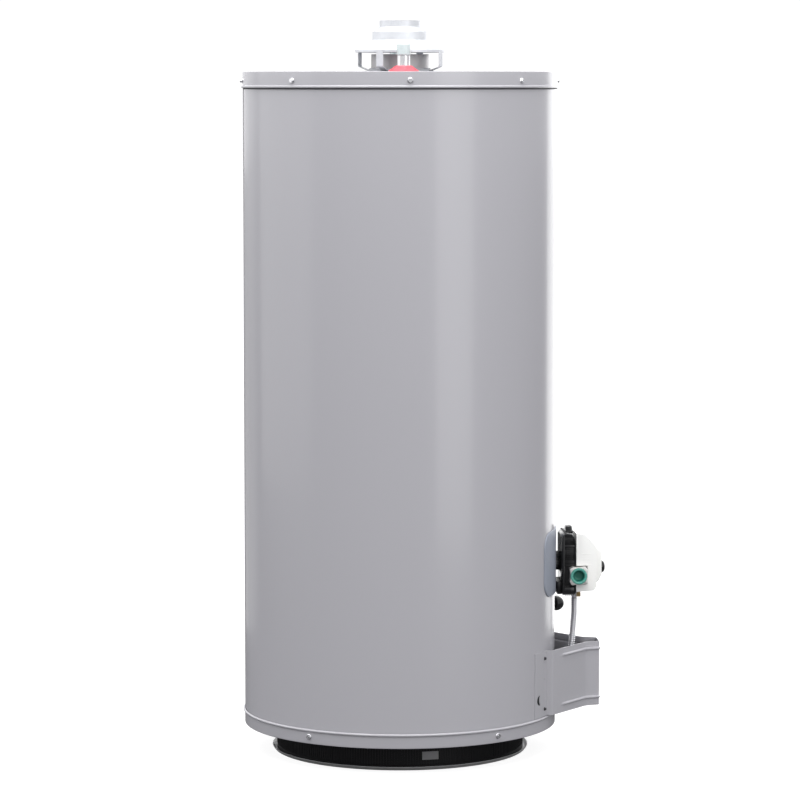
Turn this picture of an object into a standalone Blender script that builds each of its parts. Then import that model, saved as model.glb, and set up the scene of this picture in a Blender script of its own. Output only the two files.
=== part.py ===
"""Tank water heater: a gas-fired storage heater with a draft hood, made of separate pieces.

Metres, +Z up. The origin is on the floor, on the tank's axis. The front, with the gas control, faces -Y,
and the hot outlet is at -X. Angles called "around" are degrees from the front towards +X.
"""

import math

import bmesh
import bpy
from mathutils import Matrix, Vector

# Casing
JACKET_R = 0.280
JACKET_TOP = 1.212
JACKET_FOOT = 0.052
SHEET = 0.001
GAP = 0.0003
BAND_R = JACKET_R + GAP + SHEET
BEAD_R = BAND_R + 0.001
CAP_TOP = 1.221
CAP_HEM = 1.194
CAP_CORNER_R = 0.005
PAN_HEM = 0.075
PAN_FLOOR = 0.0485
CAP_SCREWS = 8
CAP_SCREW_Z = 1.2054
PAN_SCREWS = 5
PAN_SCREW_Z = 0.061

# Base
BASE_R = 0.2274
BASE_LIP_R = 0.2316
BASE_RIM = 0.0065
BASE_SHEET = 0.0015
SCREEN_R = 0.223
CHAMBER_FLOOR = 0.058

# Tank and flue
TANK_R = 0.250
TANK_WALL = 0.0025
TANK_FOOT = 0.0603
HEAD_RIM = 1.140
HEAD_RISE = 0.050
BOTTOM_RIM = 0.215
BOTTOM_RISE = 0.045
FLUE_R = 0.0515
FLUE_WALL = 0.002
FLUE_TOP = 1.252
FLUE_HOLE_R = 0.0523
NIPPLE_OFFSET = 0.1016
NIPPLE_R = 0.0112
NIPPLE_BORE_R = 0.0097
NIPPLE_TOP = 1.268
THREAD_CAP_R = 0.0122
THREAD_CAP_FOOT = 1.2504
ANODE_OFFSET = 0.105

# Draft hood
HOOD_TOP = 1.3119
HOOD_COLLAR_R = 0.0366
HOOD_RING_R = 0.0495
HOOD_SKIRT_R = 0.0802
HOOD_SKIRT_Z = 1.2553
LEG_R = 0.081
LEG_WIDTH = 0.0136
LEG_TURN = -30

# Openings in the front
ACCESS_HALF = 0.095
ACCESS_LOW = 0.085
ACCESS_HIGH = 0.183

# Burner cover, as seen from above: half widths across and distances out from the axis
COVER_LOW = 0.0755
COVER_HIGH = 0.1924
COVER_HALF = 0.119
COVER_BEND = 0.266
COVER_NOSE_HALF = 0.029
COVER_NOSE_BEND = 0.335
COVER_FRONT_HALF = 0.0215
COVER_FRONT = 0.361
COVER_FLANGE_END = 35
COVER_SCREW_AROUND = 27.4
COVER_SCREW_Z = (0.0886, 0.1796)
KNOCKOUT_AROUND = 31.7
KNOCKOUT_Z = 0.107
KNOCKOUT_R = 0.008

# Gas control
SHANK_Z = 0.338
SHANK_R = 0.012
PAD_HALF = 0.130
PAD_LOW = 0.2867
PAD_HIGH = 0.4028
PAD_CORNER_R = 0.028
BODY_HALF = 0.042
BODY_BACK = 0.2915
BODY_FRONT = 0.3160
BODY_LOW = 0.279
BODY_HIGH = 0.3920
WALL = 0.0025
FACE_OUT = 0.3525
DIAL_Z = 0.326
PANEL_HALF = 0.026
PANEL_OUT = 0.3643
DIAL_WELL_R = 0.0136
DIAL_WELL_FLOOR = 0.3552
DIAL_BACK = 0.359
DIAL_R = 0.0126
DIAL_GRIP_R = 0.0115
INLET_OUT = 0.3195
INLET_Z = 0.3162
INLET_HALF = 0.0165
INLET_END = 0.056
INLET_BORE_R = 0.0152
BUTTON_OUT = 0.3058
BUTTON_HALF = (0.012, 0.0058)
BUTTON_TOP = 0.4020
TUBE_R = 0.0056
TUBE_OUT = 0.3175
TUBE_TOP = 0.2737
TUBE_LOW_OUT = 0.3125
DOOR_Z = 0.118
TUBE_BEND_R = 0.040
TUBE_END_OUT = 0.2705

# Drain valve and relief valve
DRAIN_AROUND = 20
DRAIN_Z = 0.243
RELIEF_Z = 1.070
LEVER_PIVOT = 0.3548

SIDES_BIG = 64
SIDES_MID = 36
SIDES_SHELL = 24
SIDES_SMALL = 16

collections = {}


# ---------------------------------------------------------------- helpers

def clear_scene():
    for obj in list(bpy.data.objects):
        bpy.data.objects.remove(obj, do_unlink=True)


def collection(name):
    if name not in collections:
        collections[name] = bpy.data.collections.new(name)
        bpy.context.scene.collection.children.link(collections[name])
    return collections[name]


def material(name, color, roughness, metallic=0.0):
    found = bpy.data.materials.get(name)
    if found:
        return found
    made = bpy.data.materials.new(name)
    made.use_nodes = True
    shader = made.node_tree.nodes["Principled BSDF"]
    shader.inputs["Base Color"].default_value = (*color, 1.0)
    shader.inputs["Roughness"].default_value = roughness
    shader.inputs["Metallic"].default_value = metallic
    made.diffuse_color = (*color, 1.0)
    return made


JACKET_PAINT = ("jacket_paint", (0.42, 0.42, 0.45), 0.25)
HOOD_PAINT = ("hood_paint", (0.85, 0.86, 0.87), 0.35)
BARE_STEEL = ("bare_steel", (0.45, 0.45, 0.46), 0.4, 1.0)
DARK_STEEL = ("dark_steel", (0.08, 0.08, 0.085), 0.5, 0.6)
BRIGHT_STEEL = ("bright_steel", (0.75, 0.75, 0.76), 0.25, 1.0)
BRASS = ("brass", (0.62, 0.45, 0.2), 0.3, 1.0)
ALUMINIUM = ("aluminium", (0.7, 0.68, 0.68), 0.45, 1.0)
BLACK_PLASTIC = ("black_plastic", (0.02, 0.02, 0.022), 0.45)
WHITE_PLASTIC = ("white_plastic", (0.85, 0.85, 0.83), 0.4)
GREY_PLASTIC = ("grey_plastic", (0.4, 0.42, 0.48), 0.5)
TEAL_PLASTIC = ("teal_plastic", (0.03, 0.28, 0.22), 0.4)
RED_PLASTIC = ("red_plastic", (0.75, 0.03, 0.06), 0.35)
BLUE_PLASTIC = ("blue_plastic", (0.03, 0.14, 0.6), 0.35)
CLEAR_PLASTIC = ("clear_plastic", (0.6, 0.66, 0.63), 0.35)
FOAM = ("foam", (0.8, 0.72, 0.5), 0.9)


def place(name, mesh, finish=None):
    """An object of the heater, or a cutter when no finish is given."""
    obj = bpy.data.objects.new(name, mesh)
    if finish:
        collection("tank_water_heater").objects.link(obj)
        mesh.materials.append(material(*finish))
    else:
        collection("cutters").objects.link(obj)
        obj.hide_render = True
        obj.display_type = "WIRE"
    return obj


def turned(name, profile, finish=None, sides=SIDES_SMALL, closed=False):
    """A profile of (radius, height) turned about Z: down the outer side, then back up inside if closed."""
    mesh = bpy.data.meshes.new(name)
    count = len(profile)
    edges = [(i, i + 1) for i in range(count - 1)]
    if closed:
        edges.append((count - 1, 0))
    mesh.from_pydata([(r, 0.0, z) for r, z in profile], edges, [])
    obj = place(name, mesh, finish)
    screw = obj.modifiers.new("Turn", "SCREW")
    screw.axis = "Z"
    screw.steps = sides
    screw.render_steps = sides
    screw.use_merge_vertices = not closed
    screw.merge_threshold = 0.00001
    screw.use_smooth_shade = True
    return obj


def outline_mesh(name, points, thickness):
    """A flat outline in X and Y, thickened along Z about its own plane."""
    curve = bpy.data.curves.new(name, "CURVE")
    curve.dimensions = "2D"
    curve.fill_mode = "BOTH"
    curve.extrude = thickness / 2
    spline = curve.splines.new("POLY")
    spline.points.add(len(points) - 1)
    for point, (x, y) in zip(spline.points, points):
        point.co = (x, y, 0.0, 1.0)
    spline.use_cyclic_u = True
    return mesh_of_curve(name, curve)


def mesh_of_curve(name, curve):
    guide = bpy.data.objects.new(name + "_guide", curve)
    collection("cutters").objects.link(guide)
    bpy.context.view_layer.update()
    evaluated = guide.evaluated_get(bpy.context.evaluated_depsgraph_get())
    mesh = bpy.data.meshes.new_from_object(evaluated)
    bpy.data.objects.remove(guide)
    tidy = bmesh.new()
    tidy.from_mesh(mesh)
    bmesh.ops.remove_doubles(tidy, verts=tidy.verts, dist=0.00001)
    bmesh.ops.recalc_face_normals(tidy, faces=tidy.faces)
    tidy.to_mesh(mesh)
    tidy.free()
    mesh.name = name
    return mesh


def tube_curve(name, points, radius, resolution=2):
    curve = bpy.data.curves.new(name, "CURVE")
    curve.dimensions = "3D"
    curve.bevel_depth = radius
    curve.bevel_resolution = resolution
    curve.use_fill_caps = True
    spline = curve.splines.new("POLY")
    spline.points.add(len(points) - 1)
    for point, place_at in zip(spline.points, points):
        point.co = (*place_at, 1.0)
    return curve


def bent_tube(name, points, radius, finish):
    return place(name, mesh_of_curve(name, tube_curve(name + "_line", points, radius)), finish)


def block(name, low, high, finish=None, bevel=0.0):
    """A box between two corners, as a primitive with its size applied."""
    shape = bmesh.new()
    bmesh.ops.create_cube(shape, size=1.0)
    size = [b - a for a, b in zip(low, high)]
    centre = [(a + b) / 2 for a, b in zip(low, high)]
    bmesh.ops.scale(shape, vec=size, verts=shape.verts)
    mesh = bpy.data.meshes.new(name)
    shape.to_mesh(mesh)
    shape.free()
    obj = place(name, mesh, finish)
    obj.location = centre
    if bevel:
        soften(obj, bevel)
    return obj


def soften(obj, width, segments=2):
    bevel = obj.modifiers.new("Soften", "BEVEL")
    bevel.width = width
    bevel.segments = segments
    bevel.limit_method = "ANGLE"
    bevel.angle_limit = math.radians(40)


def rod(name, start, end, radius, sides=SIDES_SMALL, finish=None):
    """A round bar between two points."""
    start = Vector(start)
    along = Vector(end) - start
    shape = bmesh.new()
    size = {"radius1": radius, "radius2": radius, "depth": along.length}
    bmesh.ops.create_cone(shape, cap_ends=True, segments=sides, **size)
    mesh = bpy.data.meshes.new(name)
    shape.to_mesh(mesh)
    shape.free()
    obj = place(name, mesh, finish)
    return aim(obj, start + along / 2, along)


def combine(obj, other, operation="DIFFERENCE"):
    change = obj.modifiers.new(operation.title(), "BOOLEAN")
    change.operation = operation
    change.solver = "EXACT"
    change.object = other
    return obj


def outward(around):
    """The unit vector that points away from the axis, an angle round from the front."""
    angle = math.radians(around)
    return Vector((math.sin(angle), -math.cos(angle), 0.0))


def at(around, radius, height):
    spot = outward(around) * radius
    spot.z = height
    return spot


def aim(obj, spot, direction):
    """Stands an object's own Z along a direction, at a spot."""
    turn = Vector(direction).to_track_quat("Z", "Y").to_matrix().to_4x4()
    obj.matrix_world = Matrix.Translation(Vector(spot)) @ turn
    return obj


def bore(obj, start, end, radius, sides=SIDES_SMALL):
    name = f"{obj.name}_bore_{len(obj.modifiers)}"
    return combine(obj, rod(name, start, end, radius, sides))


def arc(centre, radius, first, last, steps):
    """Points of (x, y) on an arc, angles in degrees."""
    angles = [math.radians(first + (last - first) * i / steps) for i in range(steps + 1)]
    return [(centre[0] + radius * math.cos(a), centre[1] + radius * math.sin(a)) for a in angles]


def strip_outline(path, thickness):
    """The outline of a bent strip whose middle follows a path, with mitred bends."""
    left, right = [], []
    for i, point in enumerate(path):
        here = Vector(point)
        before = (here - Vector(path[i - 1])).normalized() if i else None
        after = (Vector(path[i + 1]) - here).normalized() if i < len(path) - 1 else None
        before = before or after
        after = after or before
        normal = (Vector((-before.y, before.x)) + Vector((-after.y, after.x))).normalized()
        reach = thickness / 2 / normal.dot(Vector((-before.y, before.x)))
        left.append(tuple(here + normal * reach))
        right.append(tuple(here - normal * reach))
    return left + right[::-1]


def dish(rim, rise, radius, start, end, steps):
    """A shallow dished head as (radius, height) points between two radii."""
    radii = [start + (end - start) * i / steps for i in range(steps + 1)]
    return [(r, rim + rise * (1 - (r / radius) ** 2)) for r in radii]


# ---------------------------------------------------------------- casing

def hem(height, turn):
    """The rolled bead at a band's edge; turn is 1 where the band rises from it, -1 where it hangs."""
    steps = ((BAND_R, 0.0050), (BEAD_R, 0.0036), (BEAD_R, 0.0010), (JACKET_R + GAP, 0.0))
    return [(r, height + turn * z) for r, z in steps]


def screw_holes(obj, count, first, height, reach=0.272):
    """One shared cutter with a clearance hole for each screw, through the band and the jacket."""
    shape = bmesh.new()
    for i in range(count):
        direction = outward(first + i * 360 / count)
        middle = direction * (reach + BEAD_R) / 2
        middle.z = height
        turn = Matrix.Translation(middle) @ direction.to_track_quat("Z", "Y").to_matrix().to_4x4()
        size = {"radius1": 0.0022, "radius2": 0.0022, "depth": BEAD_R - reach + 0.01}
        bmesh.ops.create_cone(shape, cap_ends=True, segments=8, matrix=turn, **size)
    mesh = bpy.data.meshes.new(obj.name + "_holes")
    shape.to_mesh(mesh)
    shape.free()
    combine(obj, place(mesh.name, mesh))


def sheet_screw(name, around, radius, height, finish):
    """A pan-head sheet-metal screw whose head sits on a surface at the given radius."""
    head = [(0.0, 0.0022), (0.0028, 0.0018), (0.0042, 0.0006), (0.0042, 0.0)]
    shank = [(0.0017, 0.0), (0.0017, -0.0038), (0.0, -0.0038)]
    screw = turned(name, head + shank, finish, sides=8)
    return aim(screw, at(around, radius + GAP, height), outward(around))


def casing():
    jacket_profile = (
        (JACKET_R, JACKET_TOP),
        (JACKET_R, JACKET_FOOT),
        (JACKET_R - SHEET, JACKET_FOOT),
        (JACKET_R - SHEET, JACKET_TOP),
    )
    jacket = turned("jacket", jacket_profile, JACKET_PAINT, SIDES_BIG, closed=True)
    access = block("jacket_access", (-ACCESS_HALF, -0.30, ACCESS_LOW), (ACCESS_HALF, -0.20, ACCESS_HIGH))
    combine(jacket, access)
    bore(jacket, at(0, 0.25, SHANK_Z), at(0, 0.30, SHANK_Z), SHANK_R + 0.0008)
    bore(jacket, at(DRAIN_AROUND, 0.25, DRAIN_Z), at(DRAIN_AROUND, 0.30, DRAIN_Z), 0.0096)
    bore(jacket, at(90, 0.25, RELIEF_Z), at(90, 0.30, RELIEF_Z), 0.0145)
    screw_holes(jacket, CAP_SCREWS, -90, CAP_SCREW_Z)
    screw_holes(jacket, PAN_SCREWS, -90 - 2 + 36, PAN_SCREW_Z)
    top_cap()
    bottom_pan()
    for i in range(CAP_SCREWS):
        sheet_screw(f"cap_screw_{i + 1}", -90 + i * 360 / CAP_SCREWS, BAND_R, CAP_SCREW_Z, BRIGHT_STEEL)
    for i in range(PAN_SCREWS):
        around = -90 - 2 + 36 + i * 360 / PAN_SCREWS
        sheet_screw(f"pan_screw_{i + 1}", around, BAND_R, PAN_SCREW_Z, BRIGHT_STEEL)


def top_cap():
    corner = (BAND_R - CAP_CORNER_R, CAP_TOP - CAP_CORNER_R)
    outer = [(FLUE_HOLE_R, CAP_TOP)] + arc(corner, CAP_CORNER_R, 90, 0, 2) + hem(CAP_HEM, 1)
    inner = arc(corner, CAP_CORNER_R - SHEET, 0, 90, 2) + [(FLUE_HOLE_R, CAP_TOP - SHEET)]
    cap = turned("top_cap", outer + inner, JACKET_PAINT, SIDES_BIG, closed=True)
    for side in (-1, 1):
        spot = (side * NIPPLE_OFFSET, 0.0, CAP_TOP - 0.01)
        bore(cap, spot, (spot[0], 0.0, CAP_TOP + 0.01), NIPPLE_R + 0.0015)
    bore(cap, (0.0, ANODE_OFFSET, CAP_TOP - 0.01), (0.0, ANODE_OFFSET, CAP_TOP + 0.01), 0.020)
    screw_holes(cap, CAP_SCREWS, -90, CAP_SCREW_Z)


def bottom_pan():
    hem_side = hem(PAN_HEM, -1)[::-1]
    outer = hem_side + [(BAND_R, PAN_FLOOR + 0.001), (BAND_R - 0.001, PAN_FLOOR)]
    outer += [(SCREEN_R + 0.001, PAN_FLOOR)]
    inner = [(SCREEN_R + 0.001, PAN_FLOOR + SHEET), (JACKET_R + GAP, PAN_FLOOR + SHEET)]
    pan = turned("bottom_pan", outer + inner, JACKET_PAINT, SIDES_BIG, closed=True)
    screw_holes(pan, PAN_SCREWS, -90 - 2 + 36, PAN_SCREW_Z)


# ---------------------------------------------------------------- base and combustion chamber

def base():
    dish_profile = (
        (BASE_LIP_R, BASE_RIM),
        (BASE_R, 0.0008),
        (BASE_R - 0.0008, 0.0),
        (0.0, 0.0),
    )
    wall_r, lip_r = BASE_R - BASE_SHEET, BASE_LIP_R - BASE_SHEET
    inside = ((0.0, BASE_SHEET), (wall_r, BASE_SHEET), (lip_r, BASE_RIM), (BASE_LIP_R, BASE_RIM))
    turned("base_pan", dish_profile + inside, BARE_STEEL, SIDES_BIG)
    screen = (
        (SCREEN_R, CHAMBER_FLOOR - GAP),
        (SCREEN_R, BASE_SHEET + GAP),
        (SCREEN_R - 0.004, BASE_SHEET + GAP),
        (SCREEN_R - 0.004, CHAMBER_FLOOR - GAP),
    )
    turned("intake_screen", screen, BLACK_PLASTIC, SIDES_BIG, closed=True)
    chamber_r = JACKET_R - 0.004
    pan = (
        (chamber_r, CHAMBER_FLOOR + 0.002),
        (chamber_r, CHAMBER_FLOOR),
        (0.080, CHAMBER_FLOOR),
        (0.080, CHAMBER_FLOOR + 0.002),
    )
    turned("chamber_pan", pan, BARE_STEEL, SIDES_MID, closed=True)
    disc = [(0.0, 0.0725), (0.095, 0.0725), (0.095, 0.0603), (0.0, 0.0603)]
    turned("flame_arrestor", disc, FOAM, SIDES_MID)


def burner_parts():
    top = [(0.0, 0.166), (0.030, 0.166), (0.034, 0.162), (0.070, 0.160), (0.095, 0.150)]
    bottom = [(0.095, 0.146), (0.060, 0.141), (0.0, 0.1405)]
    turned("burner", top + bottom, DARK_STEEL, SIDES_MID)
    lift = arc((-0.030, DOOR_Z + 0.020), 0.020, 270, 360, 4)
    run = [(0.0, -y, z) for y, z in [(0.2702, DOOR_Z)] + [(-y, z) for y, z in lift] + [(0.010, 0.1400)]]
    manifold = bent_tube("burner_manifold", run, 0.0062, BRASS)
    combine(manifold, rod("manifold_hex", at(0, 0.2535, DOOR_Z), at(0, 0.2625, DOOR_Z), 0.011, 6), "UNION")
    pilot_run = [(0.2570, 0.104), (0.130, 0.104), (0.118, 0.112), (0.112, 0.126)]
    pilot_run = [(0.040, -out, z) for out, z in pilot_run]
    pilot = bent_tube("pilot_assembly", pilot_run, 0.003, BRIGHT_STEEL)
    combine(pilot, block("pilot_hood", (0.032, -0.120, 0.124), (0.048, -0.104, 0.156)), "UNION")


def burner_door():
    shell = (
        (TANK_R + 0.0022, 0.190),
        (TANK_R + 0.0022, 0.080),
        (TANK_R + 0.0007, 0.080),
        (TANK_R + 0.0007, 0.190),
    )
    door = turned("burner_door", shell, DARK_STEEL, SIDES_SHELL, closed=True)
    combine(door, block("door_limits", (-0.092, -0.30, 0.088), (0.092, -0.10, 0.180)), "INTERSECT")
    bore(door, at(0, 0.2, DOOR_Z), at(0, 0.3, DOOR_Z), 0.0068)
    bore(door, (0.040, -0.2, 0.104), (0.040, -0.3, 0.104), 0.0036, 8)


# ---------------------------------------------------------------- tank, flue and insulation

def tank_ports(obj, spare):
    """The openings that every layer round the tank shares, each a little wider than what passes."""
    bore(obj, at(0, 0.23, SHANK_Z), at(0, 0.29, SHANK_Z), SHANK_R + spare)
    bore(obj, at(DRAIN_AROUND, 0.23, DRAIN_Z), at(DRAIN_AROUND, 0.29, DRAIN_Z), 0.009 + spare)
    bore(obj, at(90, 0.23, RELIEF_Z), at(90, 0.29, RELIEF_Z), 0.0135 + spare)
    for side in (-1, 1):
        x = side * NIPPLE_OFFSET
        bore(obj, (x, 0.0, 1.10), (x, 0.0, 1.24), NIPPLE_R + spare)


def tank():
    inner_r = TANK_R - TANK_WALL
    outer = dish(HEAD_RIM, HEAD_RISE, TANK_R, FLUE_HOLE_R, TANK_R, 3)
    outer += [(TANK_R, TANK_FOOT), (inner_r, TANK_FOOT)]
    under = dish(BOTTOM_RIM - TANK_WALL, BOTTOM_RISE, inner_r, inner_r, FLUE_HOLE_R, 3)
    over = dish(BOTTOM_RIM, BOTTOM_RISE, inner_r, FLUE_HOLE_R, inner_r, 3)
    crown = dish(HEAD_RIM - TANK_WALL, HEAD_RISE, inner_r, inner_r, FLUE_HOLE_R, 3)
    vessel = turned("tank", outer + under + over + crown, DARK_STEEL, SIDES_SHELL, closed=True)
    tank_ports(vessel, 0.0004)
    bore(vessel, (0.0, ANODE_OFFSET, 1.10), (0.0, ANODE_OFFSET, 1.24), 0.0110)
    combine(vessel, block("skirt_access", (-0.080, -0.30, 0.095), (0.080, -0.10, 0.172)))
    flue = (
        (FLUE_R, FLUE_TOP),
        (FLUE_R, BOTTOM_RIM + 0.020),
        (FLUE_R - FLUE_WALL, BOTTOM_RIM + 0.020),
        (FLUE_R - FLUE_WALL, FLUE_TOP),
    )
    turned("flue_tube", flue, DARK_STEEL, SIDES_MID, closed=True)
    flue_baffle()
    insulation()


def flue_baffle():
    """A strip twisted a quarter turn at each fold, hung inside the flue."""
    half, thick, foot, pitch, folds = 0.040, 0.0008, 0.300, 0.120, 7
    shape = bmesh.new()
    rows = []
    for i in range(folds + 1):
        angle = math.radians(45 * i)
        across = Vector((math.cos(angle), math.sin(angle), 0.0))
        through = Vector((-across.y, across.x, 0.0)) * thick
        middle = Vector((0.0, 0.0, foot + i * pitch))
        across = across * half
        corners = (across + through, through - across, -across - through, across - through)
        rows.append([shape.verts.new(middle + corner) for corner in corners])
    for lower, upper in zip(rows, rows[1:]):
        for i in range(4):
            j = (i + 1) % 4
            shape.faces.new((lower[i], lower[j], upper[j], upper[i]))
    shape.faces.new(rows[0][::-1])
    shape.faces.new(rows[-1])
    bmesh.ops.triangulate(shape, faces=shape.faces)
    bmesh.ops.recalc_face_normals(shape, faces=shape.faces)
    mesh = bpy.data.meshes.new("flue_baffle")
    shape.to_mesh(mesh)
    shape.free()
    place("flue_baffle", mesh, BARE_STEEL)


def insulation():
    outer_r = JACKET_R - 0.003
    clear = TANK_R + 0.0008
    over = dish(HEAD_RIM + 0.0025, HEAD_RISE, clear, clear, FLUE_R + 0.006, 3)
    profile = [(FLUE_R + 0.006, 1.216), (outer_r, 1.216), (outer_r, 0.205), (clear, 0.205)] + over
    foam = turned("insulation", profile, FOAM, SIDES_SHELL, closed=True)
    tank_ports(foam, 0.0030)
    bore(foam, (0.0, ANODE_OFFSET, 1.10), (0.0, ANODE_OFFSET, 1.24), 0.020)


# ---------------------------------------------------------------- water connections

def pipe(name, x, outer_r, bore_r, top, foot, finish, sides=SIDES_SMALL):
    wall = ((outer_r, top), (outer_r, foot), (bore_r, foot), (bore_r, top))
    made = turned(name, wall, finish, sides, closed=True)
    made.location.x = x
    return made


def water_connections():
    for name, side, colour in (("hot", -1, RED_PLASTIC), ("cold", 1, BLUE_PLASTIC)):
        x = side * NIPPLE_OFFSET
        pipe(f"{name}_nipple", x, NIPPLE_R, NIPPLE_BORE_R, NIPPLE_TOP, 1.155, BARE_STEEL)
        flange = CAP_TOP + GAP
        cone = [(0.0140, 1.2306), (0.0160, 1.2300), (0.0240, 1.2237), (0.0270, 1.2227), (0.0270, flange)]
        cone += [(0.0115, flange), (0.0115, 1.2306)]
        ring = turned(f"{name}_escutcheon", cone, colour, 24, closed=True)
        ring.location.x = x
        bore_r, under = NIPPLE_R + GAP, NIPPLE_TOP + GAP
        outside = [(0.0, NIPPLE_TOP + 0.0014), (0.0108, NIPPLE_TOP + 0.0014), (THREAD_CAP_R, NIPPLE_TOP)]
        inside = [(THREAD_CAP_R, THREAD_CAP_FOOT), (bore_r, THREAD_CAP_FOOT), (bore_r, under), (0.0, under)]
        cap = turned(f"{name}_thread_cap", outside + inside, CLEAR_PLASTIC)
        cap.location.x = x
    pipe("dip_tube", NIPPLE_OFFSET, 0.0092, 0.0076, 1.240, 0.340, GREY_PLASTIC, 12)
    rod_profile = [(0.0, 1.200), (0.0105, 1.200), (0.0105, 0.420), (0.0, 0.416)]
    anode = turned("anode_rod", rod_profile, BARE_STEEL, 12)
    anode.location.y = ANODE_OFFSET
    hexagon = rod("anode_hex", (0.0, ANODE_OFFSET, 1.1845), (0.0, ANODE_OFFSET, 1.2060), 0.0155, 6)
    combine(anode, hexagon, "UNION")


# ---------------------------------------------------------------- draft hood

def draft_hood():
    outer = [
        (HOOD_COLLAR_R, HOOD_TOP),
        (HOOD_COLLAR_R, 1.3008),
        (0.0456, 1.2925),
        (HOOD_RING_R - 0.001, 1.2922),
        (HOOD_RING_R, 1.2914),
        (HOOD_RING_R, 1.2775),
        (HOOD_SKIRT_R, 1.2600),
        (HOOD_SKIRT_R, HOOD_SKIRT_Z),
    ]
    inner = [
        (HOOD_SKIRT_R - SHEET, HOOD_SKIRT_Z),
        (HOOD_SKIRT_R - SHEET, 1.2594),
        (HOOD_RING_R - SHEET, 1.2769),
        (HOOD_RING_R - SHEET, 1.2910),
        (0.0452, 1.2914),
        (HOOD_COLLAR_R - SHEET, 1.3003),
        (HOOD_COLLAR_R - SHEET, HOOD_TOP),
    ]
    turned("draft_hood", outer + inner, HOOD_PAINT, 40, closed=True)
    hood_bracket()


def hood_bracket():
    """Four straps, turned in at the foot and joined by a ring round the flue."""
    foot = CAP_TOP + GAP
    ring = [(0.0535, 1.2276), (0.0600, foot + SHEET), (0.0630, foot + SHEET), (0.0630, foot)]
    under = [(0.0595, foot), (0.0526, 1.2268)]
    bracket = turned("hood_bracket", ring + under, HOOD_PAINT, SIDES_MID, closed=True)
    path = [(0.0605, foot + 0.0009), (LEG_R, 1.2300), (LEG_R, 1.2600)]
    strap = outline_mesh("strap", strip_outline(path, SHEET), LEG_WIDTH)
    for i in range(4):
        leg = place(f"strap_{i + 1}", strap)
        turn = Matrix.Rotation(math.radians(LEG_TURN + 90 * i - 90), 4, "Z")
        leg.matrix_world = turn @ Matrix.Rotation(math.radians(90), 4, "X")
        combine(bracket, leg, "UNION")


# ---------------------------------------------------------------- burner cover

def cover_path():
    """Half of the sheet's middle line seen from above, as (across, outward) points, from flange to nose."""
    flange_r = JACKET_R + 0.0014
    root = math.degrees(math.asin(COVER_HALF / flange_r))
    flange = [outward(COVER_FLANGE_END + (root - COVER_FLANGE_END) * i / 2) * flange_r for i in range(3)]
    half = [(p.x, -p.y) for p in flange]
    half += [(COVER_HALF, COVER_BEND), (COVER_NOSE_HALF, COVER_NOSE_BEND)]
    half += [(COVER_FRONT_HALF + 0.001, COVER_FRONT - 0.006), (COVER_FRONT_HALF - 0.004, COVER_FRONT)]
    return half


def burner_cover():
    half = cover_path()
    path = [(x, -out) for x, out in half] + [(-x, -out) for x, out in half[::-1]]
    sheet = outline_mesh("burner_cover", strip_outline(path, SHEET), COVER_HIGH - COVER_LOW)
    cover = place("burner_cover", sheet, JACKET_PAINT)
    cover.location.z = (COVER_LOW + COVER_HIGH) / 2
    for side in (-1, 1):
        for height in COVER_SCREW_Z:
            around = side * COVER_SCREW_AROUND
            bore(cover, at(around, 0.27, height), at(around, 0.29, height), 0.0022, 8)
    bore(cover, at(-KNOCKOUT_AROUND, 0.27, KNOCKOUT_Z), at(-KNOCKOUT_AROUND, 0.29, KNOCKOUT_Z), KNOCKOUT_R)
    jacket = bpy.data.objects["jacket"]
    spots = [(side * COVER_SCREW_AROUND, height) for side in (-1, 1) for height in COVER_SCREW_Z]
    for i, (around, height) in enumerate(spots):
        bore(jacket, at(around, 0.27, height), at(around, 0.29, height), 0.0022, 8)
        sheet_screw(f"cover_screw_{i + 1}", around, JACKET_R + 0.0019, height, DARK_STEEL)


# ---------------------------------------------------------------- gas control

def valve_pad():
    ring = (
        (JACKET_R + 0.0023, PAD_HIGH),
        (JACKET_R + 0.0023, PAD_LOW),
        (JACKET_R + GAP, PAD_LOW),
        (JACKET_R + GAP, PAD_HIGH),
    )
    pad = turned("valve_pad", ring, GREY_PLASTIC, SIDES_BIG, closed=True)
    r = PAD_CORNER_R
    x, low, high = PAD_HALF - r, PAD_LOW - 0.0005 + r, PAD_HIGH + 0.0005 - r
    corners = (((x, high), 0), ((-x, high), 90), ((-x, low), 180), ((x, low), 270))
    outline = [p for centre, turn in corners for p in arc(centre, r, turn, turn + 90, 4)]
    limits = place("pad_limits", outline_mesh("pad_limits", outline, 0.2))
    limits.matrix_world = Matrix.Translation((0.0, -0.25, 0.0)) @ Matrix.Rotation(math.radians(90), 4, "X")
    combine(pad, limits, "INTERSECT")
    bore(pad, at(0, 0.27, SHANK_Z), at(0, 0.30, SHANK_Z), SHANK_R + 0.0006)


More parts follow.
